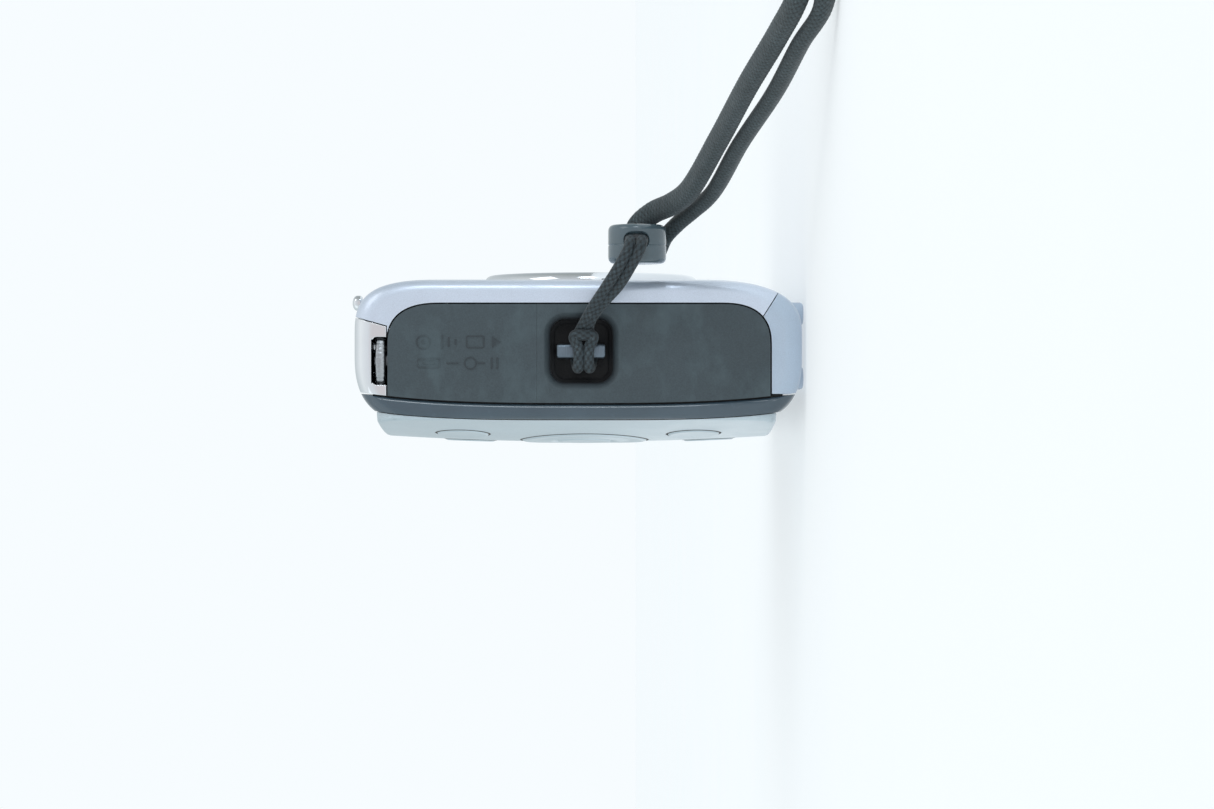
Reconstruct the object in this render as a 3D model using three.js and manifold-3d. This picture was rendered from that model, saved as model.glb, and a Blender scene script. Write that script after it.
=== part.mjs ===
// Compact digital camera with a retracting lens and a wrist strap.
// Millimetres, +Z up. The lens looks along -Y, the grip end is at -X, and the feet stand at Z = 0.
import * as THREE from 'three';
import { mergeVertices } from 'three/addons/utils/BufferGeometryUtils.js';
import Module from 'manifold-3d';

const wasm = await Module();
wasm.setup();

// ---- driving dimensions -------------------------------------------------------------------------
const HALF_WIDTH = 46;          // body, along X
const BASE_Z = 0.44;            // underside of the body, above the feet
const TOP_Z = 57.46;            // top deck
const MID_Z = 28.7;
const FRONT_Y = -8.87;          // front face at the ends of the body
const FRONT_BOW = 1.35;         // how much further forward the front face is at the middle
const SPLIT_Y = -2;             // the fattest line of the top and base
const REAR_Y = 8.68;            // back edge of the dark trim at mid height
const WALL = 1.3;
const SEAM = 0.15;              // half of the gap between two covers
const END_ROUND_Y = 1.2;        // edge radius of the end faces, front and back
const END_ROUND_Z = 2.5;        // edge radius of the end faces, top and bottom

const TRIM_FRONT = { y: 6.75, bow: 1.3, power: 3 };       // front edge of the dark trim, bowed over the height
const TRIM_REAR = { y: REAR_Y, bow: 1.3, power: 3.5 };
const TRIM_HALF_HEIGHT = 27.6;

const DECK_Z = 53.3;            // lower edge of the chrome top
const DOOR_Z = 4.4;             // upper edge of the base on the end face
const BASE_CORNER_Z = 5.7;      // where the base fills the corner in front of the end panel
const BASE_REAR_Y = 5.42;       // rear edge of the base, straight so that the door swings down past the trim
const PANEL_FRONT_Y = -6.15;    // front edge of the dark end panel
const FLAP_Z = 34.2;            // seam between the end panel and the terminal flap
const FLAP_AXIS = { x: -45.5, y: 5.0 };
const SHELL_END_CUT = 4.2;      // depth of the cut that opens the end wall

const RECESS = { y: -0.05, z: 28.55, width: 8.1, height: 7.9, radius: 1.9, depth: 4.4 };
const CUP_WALL = 0.8;
const STRAP_BAR = { bottom: 25.5, top: 31.7, half: 0.93, front: -45.9, back: -44.6 };

const DOME = { low: 3.6, high: 54.8, half: 45, crest: 11.75, crown: 0.95, rise: 25, fall: 8 };

const LENS = { x: 10, z: 27.6 };
const RING = { outer: 15.3, inner: 13.25, front: -11.65, back: -9.2 };
const HOUSING = { outer: 14.5, inner: 13.25, back: 5.2, floor: 0.9 };
const OUTER_BARREL = { outer: 12.95, inner: 11.75, front: -11.3, back: 3.4 };
const INNER_BARREL = { outer: 11.45, inner: 10.3, front: -10.9, back: 2.8 };
const BARRIER = { aperture: 4.2, pivot: 8, reach: 9.6, thickness: 0.4, swing: 32 };
const OUTER_TRAVEL = 12;
const INNER_TRAVEL = 8;

const LCD = { left: -10.5, right: 41.5, low: 8.5, high: 49.5, radius: 1.2 };
const NAV = { x: -26, z: 28.3, outer: 8.3, inner: 3.6 };
const REAR_BUTTONS = [
  { name: 'button_menu', x: -33.2, z: 14, r: 3.4 },
  { name: 'button_display', x: -18.8, z: 11.6, r: 3.4 },
  { name: 'button_playback', x: -33.2, z: 44.1, r: 3.4 },
  { name: 'button_print', x: -18.8, z: 43.7, r: 3.4 },
];
const BUTTON_GAP = 0.3;
const BUTTON_PROUD = 0.2;

const SHUTTER = { x: -26, y: -1, r: 3.3, ring: 5 };
const POWER = { x: -7, y: 0.4, length: 8, width: 3.2 };
const DIAL = { x: -41.98, y: 1.25, z: 54.05, r: 4.6, thickness: 1.1 };
const DIAL_SLOT = { from: -1.8, to: 4.3, top: 55 };

const BATTERY = { min: [-40.0, -6.0, 5.6], max: [-7.4, -0.2, 45] };
const CARD = { min: [-38, 2.0, 4.8], max: [-14, 4.1, 36.8] };
const TRIPOD = { x: 12, y: -0.5, hole: 3.3, outer: 5.0, depth: 6 };
const JACK = { z: 47.4, r: 2.6 };
const USB = { z: 40.5, width: 6.9, height: 3.1 };
const PORT_Y = 2.0;             // both sockets sit in line at this depth
const PORT_BACK = -40.9;
const FEET = [-4.9, 3.35];
const FOOT_X = 38;

const BEAD = { x: -48.5, y: -13.4, z: 21.5, r: 3.65, half: 2.45, hole: 1.7 };

// ---- solids ---------------------------------------------------------------------------------------
function solid(geometry) {
  const bare = geometry.clone();
  bare.deleteAttribute('normal');
  bare.deleteAttribute('uv');
  const merged = mergeVertices(bare, 1e-4);
  const mesh = new wasm.Mesh({
    numProp: 3,
    vertProperties: new Float32Array(merged.attributes.position.array),
    triVerts: new Uint32Array(merged.index.array),
  });
  mesh.merge();
  return new wasm.Manifold(mesh);
}

function geometryOf(manifold) {
  const mesh = manifold.getMesh();
  const geometry = new THREE.BufferGeometry();
  geometry.setAttribute('position', new THREE.BufferAttribute(mesh.vertProperties, 3));
  geometry.setIndex(new THREE.BufferAttribute(mesh.triVerts, 1));
  geometry.computeVertexNormals();
  return geometry;
}

function box(min, max) {
  const size = max.map((value, i) => value - min[i]);
  const centre = max.map((value, i) => (value + min[i]) / 2);
  return solid(new THREE.BoxGeometry(...size).translate(...centre));
}

// A round bar along 'x', 'y' or 'z', from one end to the other.
function rod(axis, centre, radius, from, to, sides = 24, radiusTo = radius) {
  const geometry = new THREE.CylinderGeometry(radiusTo, radius, to - from, sides);
  geometry.translate(0, (from + to) / 2, 0);
  if (axis === 'x') geometry.rotateZ(-Math.PI / 2).translate(0, centre[0], centre[1]);
  if (axis === 'y') geometry.translate(centre[0], 0, centre[1]);
  if (axis === 'z') geometry.rotateX(Math.PI / 2).translate(centre[0], centre[1], 0);
  return solid(geometry);
}

// A turned piece about an axis along Y through (x, z). The profile is [radius, y] pairs, either way round.
function turned(profile, x, z, sides = 32) {
  const points = profile.map(([r, y]) => new THREE.Vector2(r, y));
  if (THREE.ShapeUtils.isClockWise(points)) points.reverse();
  return solid(new THREE.LatheGeometry(points, sides).translate(x, 0, z));
}

// An outline in the YZ plane, extruded along X.
function alongX(points, from, to) {
  const shape = new THREE.Shape(points.map(([y, z]) => new THREE.Vector2(y, z)));
  const geometry = new THREE.ExtrudeGeometry(shape, { depth: to - from, bevelEnabled: false });
  geometry.applyMatrix4(new THREE.Matrix4().set(0, 0, 1, from, 1, 0, 0, 0, 0, 1, 0, 0, 0, 0, 0, 1));
  return solid(geometry);
}

// An outline in the XZ plane, extruded along Y.
function alongY(points, from, to) {
  const shape = new THREE.Shape(points.map(([x, z]) => new THREE.Vector2(x, -z)));
  const geometry = new THREE.ExtrudeGeometry(shape, { depth: to - from, bevelEnabled: false });
  geometry.applyMatrix4(new THREE.Matrix4().set(1, 0, 0, 0, 0, 0, 1, from, 0, -1, 0, 0, 0, 0, 0, 1));
  return solid(geometry);
}

// An outline in the XY plane, extruded along Z.
function alongZ(points, from, to) {
  const shape = new THREE.Shape(points.map(([x, y]) => new THREE.Vector2(x, y)));
  const geometry = new THREE.ExtrudeGeometry(shape, { depth: to - from, bevelEnabled: false });
  return solid(geometry.translate(0, 0, from));
}

function roundedRectangle(u0, u1, v0, v1, radius, steps = 4) {
  const corners = [[u1 - radius, v0 + radius, -90], [u1 - radius, v1 - radius, 0],
    [u0 + radius, v1 - radius, 90], [u0 + radius, v0 + radius, 180]];
  return corners.flatMap(([u, v, start]) => Array.from({ length: steps + 1 }, (_, i) => {
    const angle = THREE.MathUtils.degToRad(start + (90 * i) / steps);
    return [u + radius * Math.cos(angle), v + radius * Math.sin(angle)];
  }));
}

// A quarter of a superellipse, from the point straight along U to the point straight along V.
function squareArc(centre, semiU, semiV, power, steps) {
  return Array.from({ length: steps + 1 }, (_, i) => {
    const angle = (Math.PI / 2) * (i / steps);
    const u = Math.sign(semiU) * Math.abs(semiU) * Math.cos(angle) ** (2 / power);
    const v = Math.sign(semiV) * Math.abs(semiV) * Math.sin(angle) ** (2 / power);
    return [centre[0] + u, centre[1] + v];
  });
}

// ---- the body's shape -----------------------------------------------------------------------------
// The section of the body as seen from its end, in (y, z), anticlockwise from the base.
function bodySection(inset) {
  const low = BASE_Z + inset;
  const high = TOP_Z - inset;
  const front = FRONT_Y + inset;
  const rear = REAR_Y + 0.1 - inset;
  const rearCorner = 7.06;
  const rearFrom = 0.5;
  const bottomArc = squareArc([SPLIT_Y, 13.5], front - SPLIT_Y, low - 13.5, 2.7, 8).reverse();
  const topArc = squareArc([SPLIT_Y, 47.2], front - SPLIT_Y, high - 47.2, 3, 8);
  const rearTop = squareArc([rearFrom, high - rearCorner], rear - rearFrom, rearCorner, 2.5, 7).reverse();
  const rearLow = squareArc([rearFrom, low + rearCorner], rear - rearFrom, -rearCorner, 2.5, 7);
  return [...bottomArc, ...topArc, ...rearTop, ...rearLow].reverse();
}

// The section swept along X: its ends are rounded over, and its front is bowed in plan.
function bodySolid(inset, halfWidth, steps) {
  const section = bodySection(inset).map(([y, z]) => new THREE.Vector2(y, z));
  const geometry = new THREE.ExtrudeGeometry(new THREE.Shape(section), { depth: 1, steps, bevelEnabled: false });
  const position = geometry.attributes.position;
  const centreY = 0;
  for (let i = 0; i < position.count; i += 1) {
    const x = halfWidth * Math.sin(Math.PI * (position.getZ(i) - 0.5));
    const fromEnd = halfWidth - Math.abs(x);
    const insetY = roundOver(END_ROUND_Y, fromEnd);
    const insetZ = roundOver(END_ROUND_Z, fromEnd);
    const halfDepth = 8;
    const y = position.getX(i) * (1 - insetY / halfDepth);
    const z = MID_Z + (position.getY(i) - MID_Z) * (1 - insetZ / MID_Z);
    const forward = THREE.MathUtils.clamp((centreY - y) / halfDepth, 0, 1);
    const bow = FRONT_BOW * (1 - (x / HALF_WIDTH) ** 2) * forward;
    position.setXYZ(i, x, y - bow, z);
  }
  return solid(geometry);
}

function roundOver(radius, fromEnd) {
  const t = Math.min(fromEnd, radius);
  return radius - Math.sqrt(radius ** 2 - (radius - t) ** 2);
}

function edgeY(edge, z) {
  return edge.y - edge.bow * Math.abs((z - MID_Z) / TRIM_HALF_HEIGHT) ** edge.power;
}

// Everything from one bowed edge to another, as a slab along the whole body.
function slab(fromEdge, toEdge, fromGap, toGap) {
  const levels = [-2, 1.5, 5, 9, 15, 22, MID_Z, 35.5, 42.5, 48.5, 52.5, 56, 60];
  const near = levels.map((z) => [fromEdge ? edgeY(fromEdge, z) + fromGap : -30, z]);
  const far = levels.map((z) => [toEdge ? edgeY(toEdge, z) - toGap : 30, z]);
  return alongX([...near.reverse(), ...far], -60, 60);
}

const outside = bodySolid(0, HALF_WIDTH, 14);
const inside = bodySolid(WALL, HALF_WIDTH - 1.6, 8);
const shell = outside.subtract(inside);
const beforeTrim = slab(null, TRIM_FRONT, 0, SEAM);
const trimSlab = slab(TRIM_FRONT, TRIM_REAR, 0, 0);

// The base reaches up the end face and the front corner to this line.
function baseRegion(gap) {
  return alongX([[-14, -3], [14, -3], [14, BASE_CORNER_Z - gap], [-4, BASE_CORNER_Z - gap],
    [-7.54, 3.42 - gap], [-14, 2.9 - gap]], -60, 60);
}

// The chrome top is everything behind and above this line.
function deckRegion(gap) {
  return alongX([[-5 + gap, 60], [-3.1 + gap, DECK_Z + gap], [14, DECK_Z + gap], [14, 60]], -60, 60);
}

// ---- covers ---------------------------------------------------------------------------------------
function panelOutline(gap) {
  const low = DOOR_Z + gap;
  const high = DECK_Z - gap;
  const front = PANEL_FRONT_Y + gap;
  const bottomArc = squareArc([-0.6, 11], front + 0.6, low - 11, 2.6, 6).reverse();
  const topArc = squareArc([-0.6, 46.2], front + 0.6, high - 46.2, 2.6, 6);
  return [...bottomArc, ...topArc, [14, high], [14, low]];
}

function panelOpening() {
  return alongX(panelOutline(0).reverse(), -60, -HALF_WIDTH + SHELL_END_CUT);
}

function frontCover() {
  return shell.intersect(beforeTrim)
    .subtract(baseRegion(-SEAM))
    .subtract(deckRegion(-SEAM))
    .subtract(panelOpening())
    .subtract(rod('y', [LENS.x, LENS.z], RING.outer + SEAM, -20, 5, 40))
    .subtract(alongY(flashOutline(0.15), -20, 0))
    .subtract(rod('y', [AF_LAMP.x, AF_LAMP.z], AF_LAMP.r + 0.15, -20, 0, 16))
    .subtract(rod('z', [SHUTTER.x, SHUTTER.y], SHUTTER.ring + 0.3, 50, 60));
}

function dialRoom() {
  return rod('z', [DIAL.x, DIAL.y], DIAL.r + 0.25, 50, 55.2, 24);
}

function rearTrim() {
  return shell.intersect(trimSlab.subtract(box([-43, -20, 5], [43, 20, 53])))
    .subtract(dialRoom());
}

function topPlate() {
  const powerHole = roundedRectangle(POWER.x - POWER.length / 2 - 0.2, POWER.x + POWER.length / 2 + 0.2,
    POWER.y - POWER.width / 2 - 0.2, POWER.y + POWER.width / 2 + 0.2, POWER.width / 2, 4);
  return shell.intersect(beforeTrim)
    .intersect(deckRegion(0))
    .subtract(rod('z', [SHUTTER.x, SHUTTER.y], SHUTTER.ring + 0.3, 50, 60))
    .subtract(alongZ(powerHole, 50, 60))
    .subtract(box([-60, DIAL_SLOT.from, 50], [-HALF_WIDTH + SHELL_END_CUT, DIAL_SLOT.to, DIAL_SLOT.top]))
    .subtract(dialRoom())
    .subtract(rod('z', [SPEAKER.x, SPEAKER.y], 0.6, 50, 60, 8));
}

function basePiece(from, to) {
  return shell.intersect(beforeTrim)
    .intersect(baseRegion(0))
    .intersect(box([from, -20, -5], [to, BASE_REAR_Y, 20]))
    .subtract(panelOpening());
}

function foot(x, y) {
  return rod('z', [x, y], 1.5, 0, 1.6, 12);
}

function batteryDoor() {
  const door = basePiece(-60, -5.3);
  return FEET.reduce((piece, y) => piece.add(foot(-FOOT_X, y)), door)
    .subtract(box([LATCH.x0 - 0.2, LATCH.y0 - 0.2, -1], [LATCH.x1 + 2.2, LATCH.y1 + 0.2, BASE_Z + 0.6]));
}

function bottomPlate() {
  const plate = basePiece(-5.0, 60);
  return FEET.reduce((piece, y) => piece.add(foot(FOOT_X, y)), plate)
    .subtract(rod('z', [TRIPOD.x, TRIPOD.y], TRIPOD.outer + 0.15, -1, 5, 32))
    .subtract(screwHoles('base'));
}

const LATCH = { x0: -33, x1: -27, y0: -2.2, y1: 1.4 };

function doorLatch() {
  const knob = box([LATCH.x0, LATCH.y0, BASE_Z - 0.25], [LATCH.x1, LATCH.y1, BASE_Z + 0.45]);
  const grooves = [-31.5, -30, -28.5].map((x) => box([x - 0.3, -4, -1], [x + 0.3, 4, BASE_Z - 0.05]));
  return grooves.reduce((piece, groove) => piece.subtract(groove), knob);
}

// A domed back: a flat-sided box whose outer face is lifted to the dome.
function domeSolid(inset) {
  const height = DOME.high - DOME.low - 2 * inset;
  const width = 2 * (DOME.half - inset);
  const geometry = new THREE.BoxGeometry(width, 1, height, 16, 1, 6);
  const position = geometry.attributes.position;
  for (let i = 0; i < position.count; i += 1) {
    const x = position.getX(i);
    const z = MID_Z + 0.4 + position.getZ(i);
    const y = position.getY(i) > 0 ? domeY(x, z) - inset : TRIM_REAR.y - 1.3;
    position.setXYZ(i, x, y, z);
  }
  const outline = roundedRectangle(-DOME.half + inset, DOME.half - inset,
    DOME.low + inset, DOME.high - inset, 4, 5);
  return solid(geometry).intersect(alongY(outline, -20, 20));
}

function domeY(x, z) {
  const lift = DOME.crest - REAR_Y;
  const near = THREE.MathUtils.clamp((x + DOME.half) / DOME.rise, 0, 1);
  const far = THREE.MathUtils.clamp((DOME.half - x) / DOME.fall, 0, 1);
  const rise = Math.min(Math.sin((near * Math.PI) / 2), Math.sin((far * Math.PI) / 2));
  const crown = DOME.crown * ((z - MID_Z) / TRIM_HALF_HEIGHT) ** 2;
  return REAR_Y + lift * rise - crown * rise;
}

const domeOutside = domeSolid(0).intersect(slab(TRIM_REAR, null, SEAM, 0));

function rearCover() {
  const cover = domeOutside
    .subtract(domeSolid(WALL))
    .subtract(alongY(lcdOutline(0.15), 0, 20))
    .subtract(rod('y', [NAV.x, NAV.z], NAV.outer + BUTTON_GAP, 0, 20, 40));
  return REAR_BUTTONS.reduce(
    (piece, button) => piece.subtract(rod('y', [button.x, button.z], button.r + BUTTON_GAP, 0, 20, 20)), cover);
}

function lcdOutline(gap) {
  return roundedRectangle(LCD.left - gap, LCD.right + gap, LCD.low - gap, LCD.high + gap, LCD.radius);
}

// A plug of the dome's own surface, cut to an outline, standing proud of it by some height.
function domePlug(cutter, proud, thickness) {
  const lifted = domeSolid(0).translate(0, proud, 0);
  const below = domeSolid(0).translate(0, proud - thickness, 0);
  return lifted.subtract(below).intersect(cutter);
}

function lcdWindow() {
  return domePlug(alongY(lcdOutline(0), 9, 20), -0.05, 1);
}

function navRing() {
  const cutter = rod('y', [NAV.x, NAV.z], NAV.outer, 5, 20, 40)
    .subtract(rod('y', [NAV.x, NAV.z], NAV.inner + 0.2, 5, 20, 24));
  return domePlug(cutter, BUTTON_PROUD, 1.8);
}

function setButton() {
  return domePlug(rod('y', [NAV.x, NAV.z], NAV.inner, 5, 20, 24), BUTTON_PROUD, 1.8);
}

function rearButton(button) {
  return domePlug(rod('y', [button.x, button.z], button.r, 5, 20, 20), BUTTON_PROUD, 1.8);
}

// ---- the grip end ---------------------------------------------------------------------------------
const panelSlab = slab(null, TRIM_FRONT, 0, 2 * SEAM);

function sidePanel() {
  const plate = alongX(panelOutline(SEAM).reverse(), -HALF_WIDTH, -44.9)
    .intersect(panelSlab)
    .intersect(box([-60, -20, 0], [60, 20, FLAP_Z - 0.1]));
  const half = RECESS.width / 2;
  const tall = RECESS.height / 2;
  const cup = (grow, from, to) => alongX(
    roundedRectangle(RECESS.y - half - grow, RECESS.y + half + grow,
      RECESS.z - tall - grow, RECESS.z + tall + grow, RECESS.radius + grow), from, to);
  return plate
    .add(cup(CUP_WALL, -45.5, -HALF_WIDTH + RECESS.depth + CUP_WALL))
    .subtract(cup(0, -50, -HALF_WIDTH + RECESS.depth));
}

function strapBar() {
  const { bottom, top, half, front, back } = STRAP_BAR;
  const floor = -HALF_WIDTH + RECESS.depth - 0.15;
  const across = box([front, -half, bottom], [back, half, top]);
  const low = box([back - 0.1, -half, bottom], [floor, half, bottom + 1]);
  const high = box([back - 0.1, -half, top - 1], [floor, half, top]);
  return across.add(low).add(high);
}

function terminalCover() {
  const flap = alongX(panelOutline(SEAM).reverse(), -HALF_WIDTH, -44.9)
    .intersect(panelSlab)
    .intersect(box([-60, -20, FLAP_Z + 0.1], [60, 20, 60]));
  const hinge = rod('z', [FLAP_AXIS.x + 0.5, FLAP_AXIS.y], 0.75, 36.5, 51, 10);
  return flap.add(hinge);
}

function avJack() {
  const barrel = rod('x', [PORT_Y, JACK.z], JACK.r, -44.2, PORT_BACK, 16);
  return barrel.subtract(rod('x', [PORT_Y, JACK.z], 1.3, -50, PORT_BACK - 1.2, 12));
}

function usbSocket() {
  const half = USB.height / 2;
  const tall = USB.width / 2;
  const low = [-44.2, PORT_Y - half - 0.5, USB.z - tall - 0.5];
  const high = [PORT_BACK, PORT_Y + half + 0.5, USB.z + tall + 0.5];
  return box(low, high)
    .subtract(box([-50, PORT_Y - half, USB.z - tall], [PORT_BACK - 1, PORT_Y + half, USB.z + tall]))
    .add(box([-43.4, PORT_Y - 0.4, USB.z - tall + 1], [PORT_BACK - 0.5, PORT_Y + 0.4, USB.z + tall - 1]));
}

function portPlate() {
  return box([-43.9, -4.6, 35.2], [-43.3, 4.6, 51])
    .subtract(rod('x', [PORT_Y, JACK.z], JACK.r + 0.2, -50, -30, 16))
    .subtract(box([-50, PORT_Y - 2.3, USB.z - 4.2], [-30, PORT_Y + 2.3, USB.z + 4.2]));
}

// ---- the top --------------------------------------------------------------------------------------
function modeDial() {
  const { x, y, z, r, thickness } = DIAL;
  const disc = rod('z', [x, y], r, z - thickness / 2, z + thickness / 2, 36);
  const notches = Array.from({ length: 24 }, (_, i) => {
    const angle = (i / 24) * Math.PI * 2;
    return rod('z', [x + (r + 0.15) * Math.cos(angle), y + (r + 0.15) * Math.sin(angle)], 0.3, 50, 58, 6);
  });
  return notches.reduce((piece, notch) => piece.subtract(notch), disc)
    .add(rod('z', [x, y], 1.2, z - 2, z + 0.9, 12));
}

function zoomLever() {
  const { x, y, r, ring } = SHUTTER;
  const nub = box([x - 1.6, y - ring - 1.9, TOP_Z + 0.35], [x + 1.6, y - ring + 0.6, 59.0]);
  return rod('z', [x, y], ring, 56.2, 58.2, 32)
    .add(nub)
    .subtract(rod('z', [x, y], r + 0.2, 50, 60, 28));
}

function shutterButton() {
  return rod('z', [SHUTTER.x, SHUTTER.y], SHUTTER.r, 55.4, 58.6, 28);
}

function powerButton() {
  const outline = roundedRectangle(POWER.x - POWER.length / 2, POWER.x + POWER.length / 2,
    POWER.y - POWER.width / 2, POWER.y + POWER.width / 2, POWER.width / 2 - 0.05, 4);
  return alongZ(outline, 55.6, TOP_Z + 0.15);
}

const SPEAKER = { x: 20, y: 0.2, r: 3.4 };

function speaker() {
  return rod('z', [SPEAKER.x, SPEAKER.y], SPEAKER.r, 53.4, 55.5, 20);
}

// ---- the lens -------------------------------------------------------------------------------------
function lensRing() {
  const { outer, inner, front, back } = RING;
  return turned([[inner, back], [outer - 0.6, back], [outer, back - 0.2], [outer, front + 0.8],
    [outer - 0.8, front], [inner + 0.3, front], [inner, front + 0.3], [inner, back]], LENS.x, LENS.z);
}

function lensHousing() {
  const { outer, inner, back, floor } = HOUSING;
  const front = RING.back + 0.3;
  return turned([[0, back], [outer, back], [outer, front], [inner, front], [inner, back - floor],
    [0, back - floor]], LENS.x, LENS.z);
}

function tube(part, cap) {
  const { outer, inner, front, back } = part;
  const hole = cap.hole;
  return turned([[inner, back], [outer, back], [outer, front + 0.4], [outer - 0.4, front], [hole, front],
    [hole, front + cap.thickness], [inner, front + cap.thickness], [inner, back]], LENS.x, LENS.z);
}

function barrelOuter() {
  return tube(OUTER_BARREL, { hole: OUTER_BARREL.inner - 0.01, thickness: 0.4 });
}

function barrelInner() {
  const blockPlate = INNER_BARREL.front + 1.9;
  const shelf = turned([[8, blockPlate], [INNER_BARREL.inner + 0.2, blockPlate],
    [INNER_BARREL.inner + 0.2, blockPlate + 0.8], [8, blockPlate + 0.8], [8, blockPlate]], LENS.x, LENS.z);
  return tube(INNER_BARREL, { hole: BARRIER.aperture, thickness: 0.8 }).add(shelf);
}

// One blade: the half disc that covers the aperture, and an arm to its pivot.
function barrierBlade(turn) {
  const { aperture, pivot, reach, thickness, swing } = BARRIER;
  const y = INNER_BARREL.front + 1.15;
  const disc = (centreX, centreZ, radius) => rod('y', [centreX, centreZ], radius, y, y + thickness, 24);
  const cover = disc(0, 0, aperture + 0.5).subtract(box([-20, -30, -20], [0.12, 30, 20]));
  const arm = box([0.12, y, 0], [2.4, y + thickness, pivot]);
  const angle = THREE.MathUtils.degToRad(swing);
  const openedCentre = [-pivot * Math.sin(angle), pivot - pivot * Math.cos(angle)];
  const blade = cover.add(arm).add(disc(0.3, pivot, 1.1))
    .intersect(disc(0, 0, reach))
    .intersect(disc(openedCentre[0], openedCentre[1], reach));
  return blade.rotate([0, turn, 0]).translate(LENS.x, 0, LENS.z);
}

function frontLens() {
  const front = INNER_BARREL.front + 2.9;
  return turned([[0, front - 0.7], [3.5, front - 0.4], [6, front + 0.2], [7.6, front + 0.6], [7.6, front + 3],
    [0, front + 3.4]], LENS.x, LENS.z);
}

function imageSensor() {
  return box([LENS.x - 5, HOUSING.back + 0.2, LENS.z - 4], [LENS.x + 5, HOUSING.back + 0.6, LENS.z + 4]);
}

// ---- the front ------------------------------------------------------------------------------------
const FLASH = { left: 29.5, right: 41, low: 42.6, high: 49.6 };
const AF_LAMP = { x: 20, z: 49.5, r: 1.9 };

function flashOutline(gap) {
  return roundedRectangle(FLASH.left - gap, FLASH.right + gap, FLASH.low - gap, FLASH.high + gap, 1.2);
}

// A plug of the body's own front surface, cut to an outline.
function frontPlug(cutter, thickness) {
  return outside.subtract(outside.translate(0, thickness, 0)).intersect(cutter);
}

function flashWindow() {
  return frontPlug(alongY(flashOutline(0), -20, -2), 1.2);
}

function flashReflector() {
  const { left, right, low, high } = FLASH;
  return box([left + 0.4, -7.6, low + 0.4], [right - 0.4, -3.4, high - 0.4])
    .subtract(box([left + 1, -9, low + 1], [right - 1, -4.4, high - 1]));
}

function flashCapacitor() {
  return rod('z', [38.5, -3.2], 3.5, 6, 36, 20);
}

function afLamp() {
  return frontPlug(rod('y', [AF_LAMP.x, AF_LAMP.z], AF_LAMP.r, -20, -2, 16), 1.4);
}

// ---- inside ---------------------------------------------------------------------------------------
function block(part) {
  return box(part.min, part.max);
}

function sleeve(part, gap, wall) {
  const grown = gap + wall;
  const outer = box(part.min.map((v, i) => (i === 2 ? v + 0.6 : v - grown)), part.max.map((v) => v + grown));
  const inner = box(part.min.map((v, i) => (i === 2 ? v - 3 : v - gap)), part.max.map((v) => v + gap));
  return outer.subtract(inner);
}

function mainBoard() {
  return box([-11.5, 6.05, 7], [41.5, 6.65, 50]);
}

function lcdPanel() {
  return box([LCD.left + 0.6, 7.2, LCD.low + 0.6], [LCD.right - 0.6, 8.7, LCD.high - 0.6]);
}

function tripodSocket() {
  const { x, y, hole, outer, depth } = TRIPOD;
  const flange = rod('z', [x, y], outer, BASE_Z - 0.04, BASE_Z + depth + 1, 32);
  return flange.subtract(rod('z', [x, y], hole, -1, BASE_Z + depth, 24));
}

// ---- screws ---------------------------------------------------------------------------------------
const SCREWS = {
  base: [{ x: 26, y: 3 }, { x: 26, y: -4 }],
  end: [{ y: -1, z: 12 }, { y: -1, z: 45 }],
};

function screwHoles(where) {
  const holes = SCREWS[where].map((s) => (where === 'base'
    ? rod('z', [s.x, s.y], 1.35, -1, 6, 12)
    : rod('x', [s.y, s.z], 1.35, 40, 50, 12)));
  return holes.reduce((all, hole) => all.add(hole));
}

function screw(where, s) {
  const head = where === 'base'
    ? rod('z', [s.x, s.y], 1.15, BASE_Z + 0.6, 5.4, 12)
    : rod('x', [s.y, s.z], 1.15, 42.3, HALF_WIDTH - 0.25, 12);
  const slots = where === 'base'
    ? [box([s.x - 0.8, s.y - 0.16, 0], [s.x + 0.8, s.y + 0.16, BASE_Z + 1.1]),
      box([s.x - 0.16, s.y - 0.8, 0], [s.x + 0.16, s.y + 0.8, BASE_Z + 1.1])]
    : [box([HALF_WIDTH - 0.8, s.y - 0.8, s.z - 0.16], [50, s.y + 0.8, s.z + 0.16]),
      box([HALF_WIDTH - 0.8, s.y - 0.16, s.z - 0.8], [50, s.y + 0.16, s.z + 0.8])];
  return slots.reduce((piece, slot) => piece.subtract(slot), head);
}

// ---- the wrist strap ------------------------------------------------------------------------------
// The thin cord: out of the bead, under its own bight, round the bar, over the bar, and the same back.
const HITCH_HALF = [
  [-52.9, -13.8, 22.35], [-54.1, -12.7, 22.6], [-53.6, -10.6, 23.7], [-51.6, -8.1, 25.3],
  [-49.2, -5.6, 27.0], [-47.0, -3.5, 28.2], [-44.9, -2.0, 29.0], [-43.55, -0.6, 29.35],
  [-43.5, 0.9, 29.3], [-44.5, 2.0, 29.1], [-45.9, 2.0, 28.9], [-46.75, 0.7, 28.85],
  [-46.85, -0.5, 28.95], [-46.95, -1.35, 29.35], [-47.0, -1.9, 29.55],
];
const HITCH_MIDDLE = [[-47.1, -2.0, 28.25]];
const HITCH_MIRROR_Z = 28.25;      // the two halves of the hitch lie either side of this height
const HITCH_SHIFT = [0, 0, -1.45]; // the outgoing strands lie side by side

function hitchRoute() {
  const other = HITCH_HALF.map(([x, y, z], i) => {
    const strand = z + HITCH_SHIFT[2];
    const mirrored = 2 * HITCH_MIRROR_Z - z;
    const share = THREE.MathUtils.smoothstep(i, 3, 7);
    return [x, y, strand * (1 - share) + mirrored * share];
  });
  return [...HITCH_HALF, ...HITCH_MIDDLE, ...other.reverse()];
}

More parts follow.
